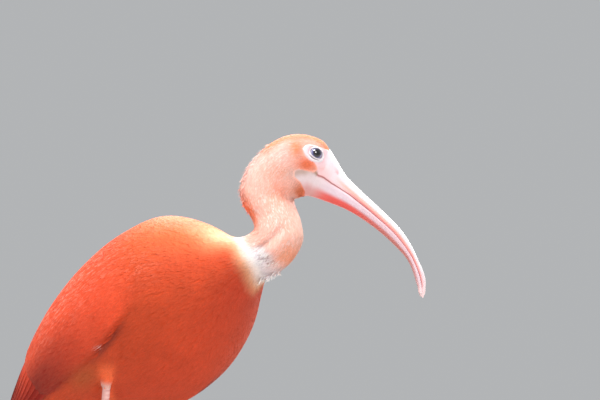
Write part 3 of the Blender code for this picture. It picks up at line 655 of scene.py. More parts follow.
def makeSkin():
    places = np.concatenate([np.linspace(*step, endpoint=False) for step in skin["steps"].values()] + [[23.9]])
    angles = np.arange(skin["corners"]) * 360 / skin["corners"]
    rings, marks = [], []
    for place in places:
        at = np.full(len(angles), place)
        plain = onBird(at, angles)
        deep = coatDepth(at, plain) + rumpDepth(at) + furrow(at, angles)
        deep += skin["underBill"] * ramp(at, 23.2, 23.9)
        if place > 16:
            deep += faceDepth(plain)
            deep += skin["mouth"] * bump(fromBack(angles), mouthLine(at), 3.5) * ramp(at, 20.2, 21.8)
        rings.append(onBird(at, angles, deep))
        marks.append(np.stack([at, angles], 1))
    body = finished("skin", loft(rings, ("place", "angle"), marks), scale=1)
    for side in sides:
        joinThigh(body, side)
    smoothJoin(body)
    spots = spotsOf(body.data)
    points = spots.reshape(-1, 3).astype(float)
    place, angle = readMark(body.data, "place"), readMark(body.data, "angle")
    tint = plumageColour(np.minimum(place, 24), angle, points)
    tint = blend(tint, shades["thigh"], ramp(place, 50, 99))
    setTint(body.data, bareColour(tint, place, angle, points))
    body.data.vertices.foreach_set("co", (spots * mm).astype(np.float32))
    body.data.shade_smooth()
    return body


def mouthLine(place):
    return 90 + np.interp(place, face["mouthPlaces"], face["mouthAngles"])


def jawShare(place, around):  # how far down the lower jaw, from the mouth's line
    start = -np.cos(np.radians(mouthLine(place)))
    return (-np.cos(np.radians(around)) - start) / (1 - start)


def jawTint(tint, share):
    return paintOver(tint, faceShades, (("jawPale", ramp(share, 0, 0.1) * 0.8),
                                        ("jawRed", ramp(share, 0.35, 0.75) * 0.6)))


def bareColour(tint, place, angle, points):  # the face's bare skin over the colours under the plumage
    forward, _, upward = inHead(points)
    around, mouth = fromBack(angle), mouthLine(place)
    looks = blend(np.broadcast_to(faceShades["bare"], tint.shape), faceShades["blush"],
                  0.45 * bump(forward, 7, 6) * bump(upward, -12, 4))
    looks = np.where((around > mouth)[:, None], jawTint(looks, jawShare(place, around)), looks)
    looks = paintOver(looks, faceShades, (
        ("gape", bump(around, mouth + 1, 4) * ramp(forward, -10, -1)),
        ("gape", 0.7 * bump(around, mouth + 4, 7) * fade(forward, -9, 1)),
    ))
    onHead = (place > 15.5) & (place < 50)
    return blend(tint, looks, onHead * ramp(-toEdge(forward, upward), -0.3, 0.7))


# Materials
def newMaterial(name, roughness=0.5):
    material = bpy.data.materials.new(name)
    material.use_nodes = True
    tree = material.node_tree
    shader = tree.nodes["Principled BSDF"]
    shader.inputs["Roughness"].default_value = roughness
    return material, tree, shader


def addNode(tree, kind, inputs=None, **settings):
    node = tree.nodes.new(kind)
    for key, value in settings.items():
        setattr(node, key, value)
    for key, value in (inputs or {}).items():
        if isinstance(value, bpy.types.NodeSocket):
            tree.links.new(value, node.inputs[key])
        else:
            node.inputs[key].default_value = value
    return node


def compute(tree, operation, *values):
    return addNode(tree, "ShaderNodeMath", dict(enumerate(values)), operation=operation).outputs[0]


def scaled(tree, tint, level):
    node = addNode(tree, "ShaderNodeVectorMath", {0: tint, "Scale": level}, operation="SCALE")
    return node.outputs["Vector"]


def variedTint(name, settings):  # a shared effect: the tint with mottling, and a height for the bump
    group = bpy.data.node_groups.new(name, "ShaderNodeTree")
    group.interface.new_socket("Tint", in_out="INPUT", socket_type="NodeSocketColor")
    group.interface.new_socket("Color", in_out="OUTPUT", socket_type="NodeSocketColor")
    group.interface.new_socket("Height", in_out="OUTPUT", socket_type="NodeSocketFloat")
    start = addNode(group, "NodeGroupInput")
    end = addNode(group, "NodeGroupOutput")
    place = addNode(group, "ShaderNodeTexCoord").outputs["Object"]
    coarse = addNode(group, "ShaderNodeTexNoise", {"Vector": place, "Scale": settings["coarse"], "Detail": 4})
    fine = addNode(group, "ShaderNodeTexNoise", {"Vector": place, "Scale": settings["fine"], "Detail": 3})
    both = compute(group, "ADD", coarse.outputs["Fac"], fine.outputs["Fac"])
    level = addNode(group, "ShaderNodeMapRange", {"Value": both, "From Min": 0.6, "From Max": 1.4,
                                                  "To Min": settings["dark"], "To Max": settings["light"]})
    group.links.new(scaled(group, start.outputs["Tint"], level.outputs["Result"]), end.inputs["Color"])
    group.links.new(fine.outputs["Fac"], end.inputs["Height"])
    return group


mottles = {
    "feathers": {"coarse": 62, "fine": 900, "dark": 0.86, "light": 1.12},
    "skin": {"coarse": 220, "fine": 900, "dark": 0.94, "light": 1.04},
}
mottle = {name: variedTint("mottle_" + name, values) for name, values in mottles.items()}


def mottledTint(tree, kind):
    tint = addNode(tree, "ShaderNodeAttribute", attribute_name="tint")
    group = addNode(tree, "ShaderNodeGroup", node_tree=mottle[kind])
    tree.links.new(tint.outputs["Color"], group.inputs["Tint"])
    return group


barbs = {
    "each": 2.6,  # to a millimetre
    "slope": 1.2,
    "depth": 0.105,
    "shade": 0.11,
    "bump": 0.25,
}
plumageShader = {
    "Specular IOR Level": 0.12,
    "Subsurface Weight": 0.1,
    "Subsurface Radius": (1.0, 0.3, 0.15),
    "Subsurface Scale": 0.002,
    "Sheen Weight": 0.05,
    "Sheen Roughness": 0.5,
    "Sheen Tint": (1, 0.8, 0.7, 1),
}


def makePlumageMaterial():
    material, tree, shader = newMaterial("plumage", 0.62)
    group = mottledTint(tree, "feathers")
    uv = addNode(tree, "ShaderNodeUVMap", uv_map="vane")
    parts = addNode(tree, "ShaderNodeSeparateXYZ", {0: uv.outputs["UV"]})
    out = compute(tree, "ABSOLUTE", parts.outputs["X"])
    slope = compute(tree, "MULTIPLY_ADD", out, -barbs["slope"], parts.outputs["Y"])
    wave = compute(tree, "SINE", compute(tree, "MULTIPLY", slope, barbs["each"] * 2 * math.pi))
    level = addNode(tree, "ShaderNodeMapRange", {"Value": wave, "From Min": -1, "From Max": 1,
                                                 "To Min": 1 - barbs["shade"], "To Max": 1})
    relief = addNode(tree, "ShaderNodeBump", {"Height": wave, "Strength": barbs["bump"],
                                              "Distance": barbs["depth"] * mm})
    tree.links.new(scaled(tree, group.outputs["Color"], level.outputs["Result"]), shader.inputs["Base Color"])
    tree.links.new(relief.outputs["Normal"], shader.inputs["Normal"])
    for key, value in plumageShader.items():
        shader.inputs[key].default_value = value
    return material


def makeSkinMaterial(name, roughness, grain, strength):
    material, tree, shader = newMaterial(name, roughness)
    group = mottledTint(tree, "skin")
    place = addNode(tree, "ShaderNodeTexCoord").outputs["Object"]
    cells = addNode(tree, "ShaderNodeTexVoronoi", {"Vector": place, "Scale": grain},
                    feature="DISTANCE_TO_EDGE")
    edge = addNode(tree, "ShaderNodeMapRange", {"Value": cells.outputs["Distance"], "From Max": 0.18})
    both = compute(tree, "ADD", edge.outputs["Result"], group.outputs["Height"])
    relief = addNode(tree, "ShaderNodeBump", {"Height": both, "Strength": strength, "Distance": 0.2 * mm})
    tree.links.new(group.outputs["Color"], shader.inputs["Base Color"])
    tree.links.new(relief.outputs["Normal"], shader.inputs["Normal"])
    return material


featherMaterial = makePlumageMaterial()
# roughness, how fine the grain is, and how strong
skinMaterial = makeSkinMaterial("facial_skin", 0.48, 900, 0.15)
billMaterial = makeSkinMaterial("bill_horn", 0.36, 420, 0.04)
legMaterial = makeSkinMaterial("leg_scales", 0.5, 620, 0.6)
clawMaterial = makeSkinMaterial("claw_horn", 0.36, 500, 0.15)

skinObject = makeSkin()
skinObject.data.materials.append(skinMaterial)
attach(skinObject, "root")
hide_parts("torso", "neck_lower", "neck_upper", "head", "thigh_left", "thigh_right")
print("skin", len(skinObject.data.polygons), "faces")


# Plumage: thin solid tufts and vanes, each laid along the surface from its root towards the tail
def onSurface(surface, place, angle, depth=0.0):  # points with the ways out, backwards and across
    here = surface(place, angle, depth)
    ahead = surface(place + 0.02, angle, 0.0) - surface(place - 0.02, angle, 0.0)
    across = surface(place, angle + 0.5, 0.0) - surface(place, angle - 0.5, 0.0)
    out = unit(np.cross(ahead, across))
    return here, out, ahead / 0.04, across


def scatter(surface, places, angles, spacing, chance):  # roots spread evenly over a part of a surface
    grid = np.arange(angles[0], angles[1] + 1e-6, 2.0)
    found, place, odd = [], places[0], 0
    while place < places[1]:
        here, _, ahead, _ = onSurface(surface, np.full(len(grid), place), grid)
        speed = np.linalg.norm(ahead, axis=1)
        run = runAlong(here)
        count = max(1, int(run[-1] / spacing))
        along = (np.arange(count) + 0.25 + 0.5 * odd + chance.uniform(-0.3, 0.3, count)) / count * run[-1]
        angle = np.interp(along, run, grid)
        step = spacing / speed.max()
        keep = chance.random(count) < np.interp(angle, grid, speed) / speed.max()
        jitter = chance.uniform(-0.4, 0.4, count) * step
        found.append(np.stack([place + jitter, angle], 1)[keep])
        place += step
        odd = 1 - odd
    return np.vstack(found)


def featherWidth(share, root, tip):  # how wide it is along its length, against its widest
    rounded = np.clip((share - tip) / (1 - tip), 0, 1)
    return mix(root, 1.0, ramp(share, 0.0, 0.4)) * np.sqrt(np.clip(1 - rounded**2, 0, 1))


def layTufts(surface, roots, looks, chance, baseDepth):  # the line that each tuft follows over the surface
    count, rings = len(roots), looks["rings"]
    place, angle = roots[:, 0].copy(), roots[:, 1].copy()
    size = looks["sizeAt"](place, angle) if "sizeAt" in looks else 1
    length = looks["length"] * chance.uniform(0.8, 1.15, count) * size
    width = looks["width"] * chance.uniform(0.85, 1.15, count) * size**0.5
    yaw = np.radians(chance.normal(0, looks["yaw"], count))
    lift = chance.uniform(*looks["lifts"], count)
    shares = np.linspace(0, 1, rings)
    step = length / (rings - 1)
    spots, outs, places, angles = [], [], [], []
    for share in shares:
        deep = mix(looks["rootDepth"], looks["tipDepth"] * lift, share ** looks["rise"]) * size**0.5
        _, out, ahead, across = onSurface(surface, place, angle)
        spots.append(surface(place, angle, deep + baseDepth(place, angle)))
        outs.append(out)
        places.append(place)
        angles.append(angle)
        place = place - step * np.cos(yaw) / np.maximum(np.linalg.norm(ahead, axis=1), looks["slowest"])
        angle = angle + step * np.sin(yaw) / np.maximum(np.linalg.norm(across, axis=1), 0.05)
    return {"spots": np.array(spots), "outs": np.array(outs), "places": np.array(places),
            "angles": np.array(angles), "shares": shares, "length": length, "width": width}


def featherFaces(rings, wide):  # of one closed solid: its root, upper side and underside, and its point
    faces = [tuple(range(wide))]
    for k in range(rings - 2):
        a, b = k * wide, (k + 1) * wide
        faces += [(a + j + 1, a + j, b + j, b + j + 1) for j in range(wide - 1)]
        faces.append((a, a + wide - 1, b + wide - 1, b))
    a, last = (rings - 2) * wide, (rings - 1) * wide
    return faces + [(a + j + 1, a + j, last) for j in range(wide - 1)] + [(a, a + wide - 1, last)]


def featherMesh(name, lines, looks, tints, tilt=None):  # closed thin solids, with a ridge along the middle
    spots, outs, shares, length, width = (lines[key] for key in ("spots", "outs", "shares", "length", "width"))
    (rings, count), columns = spots.shape[:2], np.array(looks["columns"], float)
    wide = len(columns)
    way = unit(np.gradient(spots, axis=0))
    side = unit(np.cross(outs, way))
    outs = np.cross(way, side)
    if tilt is not None:
        side, outs = (side * np.cos(tilt)[..., None] + outs * np.sin(tilt)[..., None],
                      outs * np.cos(tilt)[..., None] - side * np.sin(tilt)[..., None])
    size = (rings - 1) * wide + 1
    verts, paint, spread = np.empty((count, size, 3)), np.empty((count, size, 3)), np.zeros((count, size, 2))
    for k in range(rings - 1):
        half = width / 2 * featherWidth(shares[k], looks["rootWidth"], looks["roundFrom"])
        for j, column in enumerate(columns):
            high = looks["thick"] * (1 - abs(column)) ** 0.6 - looks["crown"] * half * column**2
            verts[:, k * wide + j] = spots[k] + side[k] * (half * column)[:, None] + outs[k] * high[:, None]
            spread[:, k * wide + j] = np.stack([column * half, shares[k] * length], 1)
            paint[:, k * wide + j] = tints(k, column)
    verts[:, -1], spread[:, -1, 1], paint[:, -1] = spots[-1], length, tints(rings - 1, 0.0)
    faces, whole, corner = featherFaces(rings, wide), [], []
    for corners in faces:
        block = np.array(corners)[None] + (np.arange(count) * size)[:, None]
        whole += block.tolist()
        corner.append(block.ravel())
    corner = np.concatenate(corner)
    mesh = bpy.data.meshes.new(name)
    mesh.from_pydata((verts.reshape(-1, 3) * mm).tolist(), [], whole)
    patch = np.stack([spread[..., 0] / width[:, None], spread[..., 1] / length[:, None]], 2) * 0.0026
    for uv, values in (("vane", spread), ("OFBake", lines["unwrap"][:, None] + patch)):
        layer = mesh.uv_layers.new(name=uv)
        layer.data.foreach_set("uv", values.reshape(-1, 2)[corner].astype(np.float32).ravel())
    setTint(mesh, paint.reshape(-1, 3))
    mesh.materials.append(featherMaterial)
    mesh.shade_smooth()
    mesh.set_sharp_from_angle(angle=math.radians(55))
    made = addObject(name, mesh)
    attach(made, "root")
    print(name, count, "feathers", sum(len(corners) - 2 for corners in faces) * count, "triangles")
    return made


def unwrapAt(place, angle, places):  # the roots on an unwrap of the skin: round it and along it
    around = ((angle + 180) % 360) / 360
    return np.stack([0.02 + 0.96 * around, 0.02 + 0.96 * (place - places[0]) / (places[1] - places[0])], 1)


def makeCoat(name, surface, looks, baseDepth, tintAt, keepAt):
    chance = np.random.default_rng(looks["seed"])
    roots = scatter(surface, looks["places"], looks["angles"], looks["spacing"], chance)
    roots = roots[keepAt(roots[:, 0], roots[:, 1])]
    lines = layTufts(surface, roots, looks, chance, baseDepth)
    lines["unwrap"] = unwrapAt(roots[:, 0], roots[:, 1], looks["places"])
    level = chance.normal(1, looks["vary"], len(roots))[:, None]
    luck = chance.normal(0, 1, len(roots))

    def tints(k, column):
        found = tintAt(lines["places"][k], lines["angles"][k], lines["spots"][k]) * level
        found = speckle(found, lines["places"][k], lines["angles"][k], luck)
        # lighter towards the tip, partly a painted highlight
        return blend(found, looks["tipTint"], np.full(len(found), looks["tipShare"] * lines["shares"][k] ** 2))

    return featherMesh(name, lines, looks, tints)


# tipTint: feathers lighter towards their tips, partly their own colour, partly a painted highlight
small = {"columns": (-1, 0, 1), "rings": 5, "rise": 0.8, "slowest": 3.0, "rootWidth": 0.6, "roundFrom": 0.45,
         "crown": 0.1, "tipTint": colour(255, 190, 160), "tipShare": 0.06, "vary": 0.035,
         "angles": (-180, 180), "lifts": (0.6, 1.25), "thick": 0.06}
coats = {
    "coat_head": small | {
        "seed": 1, "places": (16.8, 23.4), "spacing": 0.9, "length": 5.5, "width": 1.35, "yaw": 6,
        "rootDepth": 0.9, "tipDepth": 0.08, "rings": 4},
    "coat_neck": small | {
        "seed": 2, "places": (10.6, 17.4), "spacing": 1.1, "length": 9, "width": 1.9, "yaw": 8, "thick": 0.07,
        "rootDepth": 1.5, "tipDepth": 0.12, "vary": 0.05},
    "coat_body": small | {
        "seed": 3, "places": (1.8, 11.2), "spacing": 4.2, "length": 20, "width": 7, "yaw": 4, "thick": 0.15,
        "rootDepth": 2.8, "tipDepth": 0.8, "columns": (-1, -0.5, 0, 0.5, 1), "roundFrom": 0.6},
    "coat_breast": small | {
        "seed": 4, "places": (5.0, 11.2), "spacing": 1.7, "length": 15, "width": 2.7, "yaw": 3,
        "rootDepth": 1.3, "tipDepth": 0.1, "halves": True},
    "coat_flanks": small | {
        "seed": 5, "places": (1.8, 5.4), "spacing": 2.0, "length": 17, "width": 3.0, "yaw": 3,
        "rootDepth": 1.3, "tipDepth": 0.1, "halves": True},
    # the nape's pale tips: partly the ruffled feathers' own colour, partly a painted rim highlight
    "coat_nape": small | {
        "seed": 7, "places": (14.4, 18.9), "angles": (-34, 34), "spacing": 1.9, "length": 4.6, "width": 0.7,
        "yaw": 26, "rootDepth": 0.4, "tipDepth": -1.5, "rise": 1.5, "vary": 0.04,
        "lifts": (-0.2, 1.4), "tipTint": colour(255, 240, 236), "tipShare": 0.6},
    "coat_fluff": small | {
        "seed": 8, "places": (10.35, 11.2), "angles": (160, 200), "spacing": 2.2, "length": 6, "width": 1.2,
        "yaw": 30, "thick": 0.07, "rootDepth": 1.0, "tipDepth": -2.6, "rise": 1.0,
        "tipTint": colour(255, 250, 248), "tipShare": 1.0},
}


def edgeAt(place, angle):
    forward, _, upward = inHead(onBird(place, angle))
    return toEdge(forward, upward)


def headSize(place, angle):
    return mix(0.42, 1.0, ramp(edgeAt(place, angle), 0, 9))


def offFace(place, angle):
    return edgeAt(place, angle) > 0.2


def offThigh(place, angle):
    points = onBird(place, angle, skin["coat"]["body"])
    found = np.ones(len(points), bool)
    for side in sides:
        top, low = legPoints(side)["thigh"], legPoints(side)["bare"]
        share = np.clip((points - top) @ (low - top) / ((low - top) @ (low - top)), 0, 1)
        off = np.linalg.norm(points - top - share[:, None] * (low - top), axis=1)
        found &= (off >= 8.5 - 5 * share) | (share <= 0.6)
    return found


def bodyDepth(place, angle):
    return rumpDepth(place) + furrow(place, angle)


coats["coat_head"]["sizeAt"] = headSize
for name, looks in coats.items():
    keepAt = offFace if name in ("coat_head", "coat_neck") else offThigh
    halves = {"_right": (-180, 0), "_left": (0, 180)} if "halves" in looks else {"": looks["angles"]}
    for half, angles in halves.items():
        made = makeCoat(name + half, onBird, looks | {"angles": angles}, bodyDepth, plumageColour, keepAt)

skinTree = BVHTree.FromObject(skinObject, bpy.context.evaluated_depsgraph_get())
thighLooks = small | {"seed": 6, "places": (0.2, 9.8), "spacing": 1.5, "length": 12, "width": 2.1, "yaw": 6,
                      "rootDepth": 2.4, "tipDepth": 0.1, "slowest": 2.0}


def thighTint(place, angle, points):
    tint = mix(shades["thigh"], shades["breast"], ramp(place, 3, 8)[:, None])
    return blend(tint, shades["thighEnd"], 0.85 * fade(place, 0.5, 1.5))


def makeThighCoat(side):
    def surface(place, angle, depth=0.0):
        return onThigh(side, place, angle, depth)

    def outside(place, angle):
        spots = surface(place, angle, legs["coat"]) * mm
        return np.array([skinTree.find_nearest(Vector(spot))[3] < 0.006 for spot in spots])

    made = makeCoat("coat_thigh_" + side, surface, thighLooks, lambda p, a: 0 * p, thighTint, outside)


for side in sides:
    makeThighCoat(side)


# Flight feathers, coverts and scapulars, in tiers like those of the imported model
wing = {
    "top": 26,
    "low": 99,
    "clear": 1.0,
    # root and tip, for the upper and the lower feather, and which share of the wing's height they cover
    "tiers": {
        "primaries": {"count": 6, "root": (2.9, 3.3), "tip": (1.1, 0.05), "across": (0.6, 0.98),
                      "depths": (8.8, 3.3), "rise": 1.3, "width": 10.5, "thick": 0.45, "rings": 16},
        "secondaries": {"count": 12, "root": (4.5, 4.7), "tip": (0.9, 2.3), "across": (0.0, 0.96),
                        "depths": (9.0, 0.9), "rise": 2.4, "width": 14.5, "thick": 0.45, "rings": 16},
        "coverts": {"count": 13, "root": (5.4, 5.5), "tip": (3.7, 4.2), "across": (0.1, 0.97),
                    "depths": (6.5, 0.5), "rise": 2.0, "width": 10.5, "thick": 0.35, "rings": 12},
        "median": {"count": 15, "root": (6.0, 6.1), "tip": (4.9, 5.1), "across": (0.12, 0.95),
                   "depths": (4.5, 0.35), "rise": 1.8, "width": 8.5, "thick": 0.3, "rings": 10},
        "scapulars": {"count": 7, "root": (6.3, 6.4), "tip": (3.0, 4.0), "across": (0.0, 0.3),
                      "depths": (5.5, 0.2), "rise": 2.4, "width": 10, "thick": 0.35, "rings": 14},
    },
    "shaftTint": colour(255, 132, 108),
    "edgeTint": colour(250, 104, 84),
    "tipFrom": 0.62,  # where along the outer primaries the dark tip begins
}


vane = {"columns": (-1, -0.66, -0.33, 0, 0.33, 0.66, 1), "rootWidth": 0.55}


def wingTop(place, width):
    half = sectionsAt(place)[4]
    clear = np.degrees(np.arcsin(np.clip((width / 2 + wing["clear"]) / half, 0, 0.9)))
    return mix(clear, wing["top"], ramp(place, 3.4, 6.0))


def makeTier(name, side, seed):
    tier, sign = wing["tiers"][name], sides[side]
    chance = np.random.default_rng(seed)
    looks = small | tier | vane | {"roundFrom": 0.74}
    share = np.linspace(0, 1, tier["count"])
    across = mix(*tier["across"], share)
    root, tip = mix(*tier["root"], share), mix(*tier["tip"], share) + chance.uniform(-0.05, 0.05, len(share))
    step = (tier["across"][1] - tier["across"][0]) / (tier["count"] - 1)
    shares = 1 - (1 - np.linspace(0, 1, tier["rings"])) ** 1.25
    spots, outs, tilts, places, angles = [], [], [], [], []
    for along in shares:
        place = mix(root, tip, along)
        top = wingTop(place, tier["width"])
        angle = sign * mix(top, wing["low"], across)
        depth = mix(tier["depths"][1], tier["depths"][0], (1 - along) ** tier["rise"])
        here, out, _, acrossWay = onSurface(onBird, place, angle, depth)
        spacing = np.linalg.norm(acrossWay, axis=1) * (wing["low"] - top) * step
        tilt = np.arcsin(np.clip((tier["thick"] + 0.35) / spacing, 0, 0.5)) * ramp(across, -0.1, 0.3)
        sunk = np.sin(tilt) * tier["width"] * 0.3 * featherWidth(along, looks["rootWidth"], looks["roundFrom"])
        spots.append(here - out * sunk[:, None])
        outs.append(out)
        places.append(place)
        angles.append(angle)
        tilts.append(-sign * tilt)
    spots = np.array(spots)
    lines = {"spots": spots, "outs": np.array(outs), "shares": shares,
             "length": np.linalg.norm(np.diff(spots, axis=0), axis=2).sum(0),
             "width": np.full(len(share), float(tier["width"])),
             "unwrap": unwrapAt(root, sign * (30 + 60 * across), (0, 8))}
    level = chance.normal(1, 0.05, len(share))[:, None]

    def tints(k, column):
        base = plumageColour(places[k], angles[k], spots[k]) * level
        # deeper red towards the wing's tips, partly its own colour, partly painted shade
        base = blend(base, shades["rear"], 0.95 * fade(places[k], 1.6, 3.2))
        base = blend(base, wing["shaftTint"], np.full(len(share), 0.25 * (abs(column) < 0.05)))
        base = blend(base, wing["edgeTint"], np.full(len(share), 0.15 * (abs(column) > 0.9)))
        if name == "primaries":
            dark = ramp(shares[k], wing["tipFrom"], wing["tipFrom"] + 0.12) * ramp(share, 0.1, 0.35)
            base = blend(base, shades["wingTips"], dark)
        return base

    made = featherMesh(f"{name}_{side}", lines, looks, tints, np.array(tilts))
    return made


for side in sides:
    pieces = [makeTier(name, side, 20 + number) for number, name in enumerate(wing["tiers"])]
    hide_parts("wing_" + side)

tail = {
    "root": (-115.3, -3.5, 123),
    "tip": (-177.3, -3.5, 82),
    "pairs": 6,
    "width": 15.0,
    "step": 1.1,
    "firstOut": 3.0,
    "nextOut": 2.2,
    "spread": (0.75, 1.3),  # of the ways out, at the root and at the tip
    "sunk": 0.12,
    "thick": 0.45,
    "rings": 16,
}


def makeTail():
    chance = np.random.default_rng(12)
    looks = small | tail | vane | {"crown": 0.08, "roundFrom": 0.76}
    start, end = np.array(tail["root"]), np.array(tail["tip"])
    up = unit(np.cross(np.cross([0, 0, 1], end - start), -(end - start)))
    up = up if up[2] > 0 else -up
    shares = 1 - (1 - np.linspace(0, 1, tail["rings"])) ** 1.2
    spots = []
    for rank in range(tail["pairs"]):
        for sign in (-1, 1):
            level = -tail["step"] * (rank + (1 if rank or sign < 0 else 0))
            out = tail["firstOut"] + tail["nextOut"] * rank
            length = 1 - 0.02 * rank + chance.uniform(-0.01, 0.01)
            along = mix(tail["sunk"], length, shares)[:, None]
            spread = (sign * out * mix(*tail["spread"], shares))[:, None] * np.array([0, 1, 0])
            spots.append(start + (end - start) * along + spread + up * level)
    spots = np.array(spots).transpose(1, 0, 2)
    count = spots.shape[1]
    lines = {"spots": spots, "outs": np.broadcast_to(up, spots.shape).copy(), "shares": shares,
             "length": np.linalg.norm(np.diff(spots, axis=0), axis=2).sum(0),
             "width": np.full(count, tail["width"]),
             "unwrap": np.stack([np.linspace(0.1, 0.9, count), np.full(count, 0.5)], 1)}
    level = chance.normal(1, 0.05, count)[:, None]

    def tints(k, column):
        # from the rear's deeper red, partly painted shade, towards the flight feathers' red
        base = np.broadcast_to(mix(shades["rear"], shades["flight"], 0.6 * shares[k]), (count, 3)) * level
        return blend(base, wing["shaftTint"], np.full(count, 0.5 * (abs(column) < 0.05)))

    made = featherMesh("tail_feathers", lines, looks, tints)
    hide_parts("tail")


makeTail()


# Eyes and lids
def makeEye(side):
    mesh = bmesh.new()
    bmesh.ops.create_uvsphere(mesh, u_segments=72, v_segments=60, radius=eye["radius"])
    turn = Vector((0, 0, 1)).rotation_difference(Vector(eyeWays(side)[1])).to_matrix()
    layer = mesh.verts.layers.float.new("polar")
    for vert in mesh.verts:
        polar = math.degrees(vert.co.angle(Vector((0, 0, 1))))
        vert[layer] = polar / 90
        out = eye["swell"] * math.exp(-((polar / 33) ** 4)) - eye["flat"]
        vert.co = turn @ (vert.co * (1 + out / eye["radius"])) + Vector(eyeCentres[side])
    ball = finished("eyeball_" + side, mesh, eyeMaterial)
    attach(ball, "root")
    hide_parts("eye_" + side)


def makeEyeMaterial():
    material, tree, shader = newMaterial("eye", 0.12)
    polar = addNode(tree, "ShaderNodeAttribute", attribute_name="polar")
    iris = addNode(tree, "ShaderNodeValToRGB", {"Fac": polar.outputs["Fac"]})
    marks = iris.color_ramp.elements
    while len(marks) < len(eye["stops"]):
        marks.new(0.5)
    for mark, (at, value) in zip(marks, eye["stops"]):
        mark.position, mark.color = at, (*colour(*value), 1)
    tree.links.new(iris.outputs["Color"], shader.inputs["Base Color"])
    shader.inputs["Coat Weight"].default_value = 1.0
    shader.inputs["Coat Roughness"].default_value = 0.02
    return material


eyeMaterial = makeEyeMaterial()
for side in sides:
    makeEye(side)


def makeHeadTree():  # the head before any folds, in millimetres
    places, angles = np.arange(17, 24.5, 0.05), np.arange(0, 360, 2.5)
    spots = np.array([onBird(np.full(len(angles), p), angles) for p in places])
    count = len(angles)
    faces = [(start + j, start + (j + 1) % count, start + count + (j + 1) % count, start + count + j)
             for start in range(0, (len(places) - 1) * count, count) for j in range(count)]
    return BVHTree.FromPolygons(spots.reshape(-1, 3).tolist(), faces)


lids = {
    # from inside the socket over the lip to under the feathers: how far out from the middle of the opening,
    # how far it has left the ball for the head's surface, how high it stands over these, and its colour
    "profile": [(0.90, 0, -0.7, "rim"), (0.94, 0, 0.1, "dark"), (0.965, 0, 0.3, "dark"), (1.0, 0, 0.45, "rim"),
                (1.06, 0.12, 0.5, "rim"), (1.12, 0.3, 0.38, "rim"), (1.17, 0.5, 0.2, "fold"),
                (1.21, 0.65, -0.05, "fold"), (1.25, 0.75, -0.02, "fold"), (1.31, 0.85, 0.2, "rim"),
                (1.4, 0.95, 0.3, "rim"), (1.5, 1, 0.24, "rim"), (1.62, 1, 0.05, "rim"),
                (1.74, 1, -0.5, "bare"), (1.4, 0.6, -3.0, "bare"), (1.0, 0, -2.4, "bare")],
    "steps": 120,
    # how far the rim of skin reaches around the opening, from the front over the top to the back and below
    "turns": (0, 40, 90, 130, 165, 190, 215, 240, 270, 310, 335, 360),
    "stretch": (0.5, 0.5, 0.6, 0.8, 1.3, 1.6, 1.35, 1.1, 1.1, 0.9, 0.7, 0.5),
    "wrinkles": (31, 0.07),  # how many around, and how high
    "dark": (120, 96, 110),
}


def makeLids(side):
    rim, out, longer, shorter = eyeWays(side)
    turned = np.arange(lids["steps"]) * 2 * np.pi / lids["steps"]
    rings, paints = [], []
    tints = faceShades | shadesOf(lids, "dark")
    stretch = np.interp(np.degrees(turned), lids["turns"], lids["stretch"])
    lower = bump(np.degrees(turned), 255, 62)
    folds, foldHigh = lids["wrinkles"]
    opening = (np.cos(turned)[:, None] * longer * eye["half"][0]
               + np.sin(turned)[:, None] * shorter * eye["half"][1])
    for reach, leave, high, name in lids["profile"]:
        flat = opening * (1 + (reach - 1) * (stretch if reach > 1 else np.ones(len(turned))))[:, None]
        ball = np.sqrt(np.maximum(eye["radius"] ** 2 - (flat**2).sum(1), 0.5)) - eye["sunk"]
        ground = []
        for spot in flat:
            hit = headTree.ray_cast(Vector(rim + spot + out * 12), Vector(-out), 40)[0]
            ground.append((np.array(hit) - rim) @ out if hit else 0.0)
        wrinkle = foldHigh * np.sin(turned * folds + reach * 9) * bump(reach, 1.35, 0.2)
        level = mix(ball, np.array(ground), leave) + high + wrinkle
        rings.append(rim + flat + out * level[:, None])
        paint = np.broadcast_to(tints[name], (len(turned), 3))
        # the fold's painted shade stays only below the eye, elsewhere the rim's colour
        paints.append(blend(paint, tints["rim"], 1 - lower) if name == "fold" else paint)
    mesh = loft(rings + rings[:1], channels, paints + paints[:1], closed=False)
    bmesh.ops.remove_doubles(mesh, verts=mesh.verts, dist=1e-4)
    bmesh.ops.recalc_face_normals(mesh, faces=mesh.faces)
    lid = finished("lids_" + side, mesh, skinMaterial)
    setPaint(lid.data)
    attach(lid, "root")


headTree = makeHeadTree()
for side in sides:
    makeLids(side)
print("eyes and lids")


# Bill
bill = {
    "start": 22.85,
    "ends": {"bill_top": 31.0, "bill_under": 30.95},
    "rings": 130,
    "corners": 61,  # of each half's outside
    "gap": 0.1,
    "hollow": 0.35,  # how far each half's inner side lies from the mouth's line
    # how deep things are cut into the horn, below zero where they stand out
    "grooves": {"upper": 0.4, "mouth": 0.3, "lip": -0.12, "lower": 0.2, "nostril": 0.7, "roundTip": -0.7},
    "pink": (250, 214, 222),
    # the pale top of the bill: partly its own colour, partly a painted highlight
    "ridge": (255, 240, 244),
    "groove": (250, 150, 124),
    "tip": (252, 222, 222),
    "pale": (232, 210, 222),
    "under": (236, 90, 82),
    # painted shade on the bill's underside towards the tip
    "paintedUnderShade": (198, 128, 122),
    "line": (226, 100, 88),
    "mouth": (176, 66, 58),
    "nostril": (170, 100, 100),
}
billShades = shadesOf(bill, "pink", "ridge", "groove", "tip", "pale", "under", "paintedUnderShade", "line", "mouth",
                      "nostril")


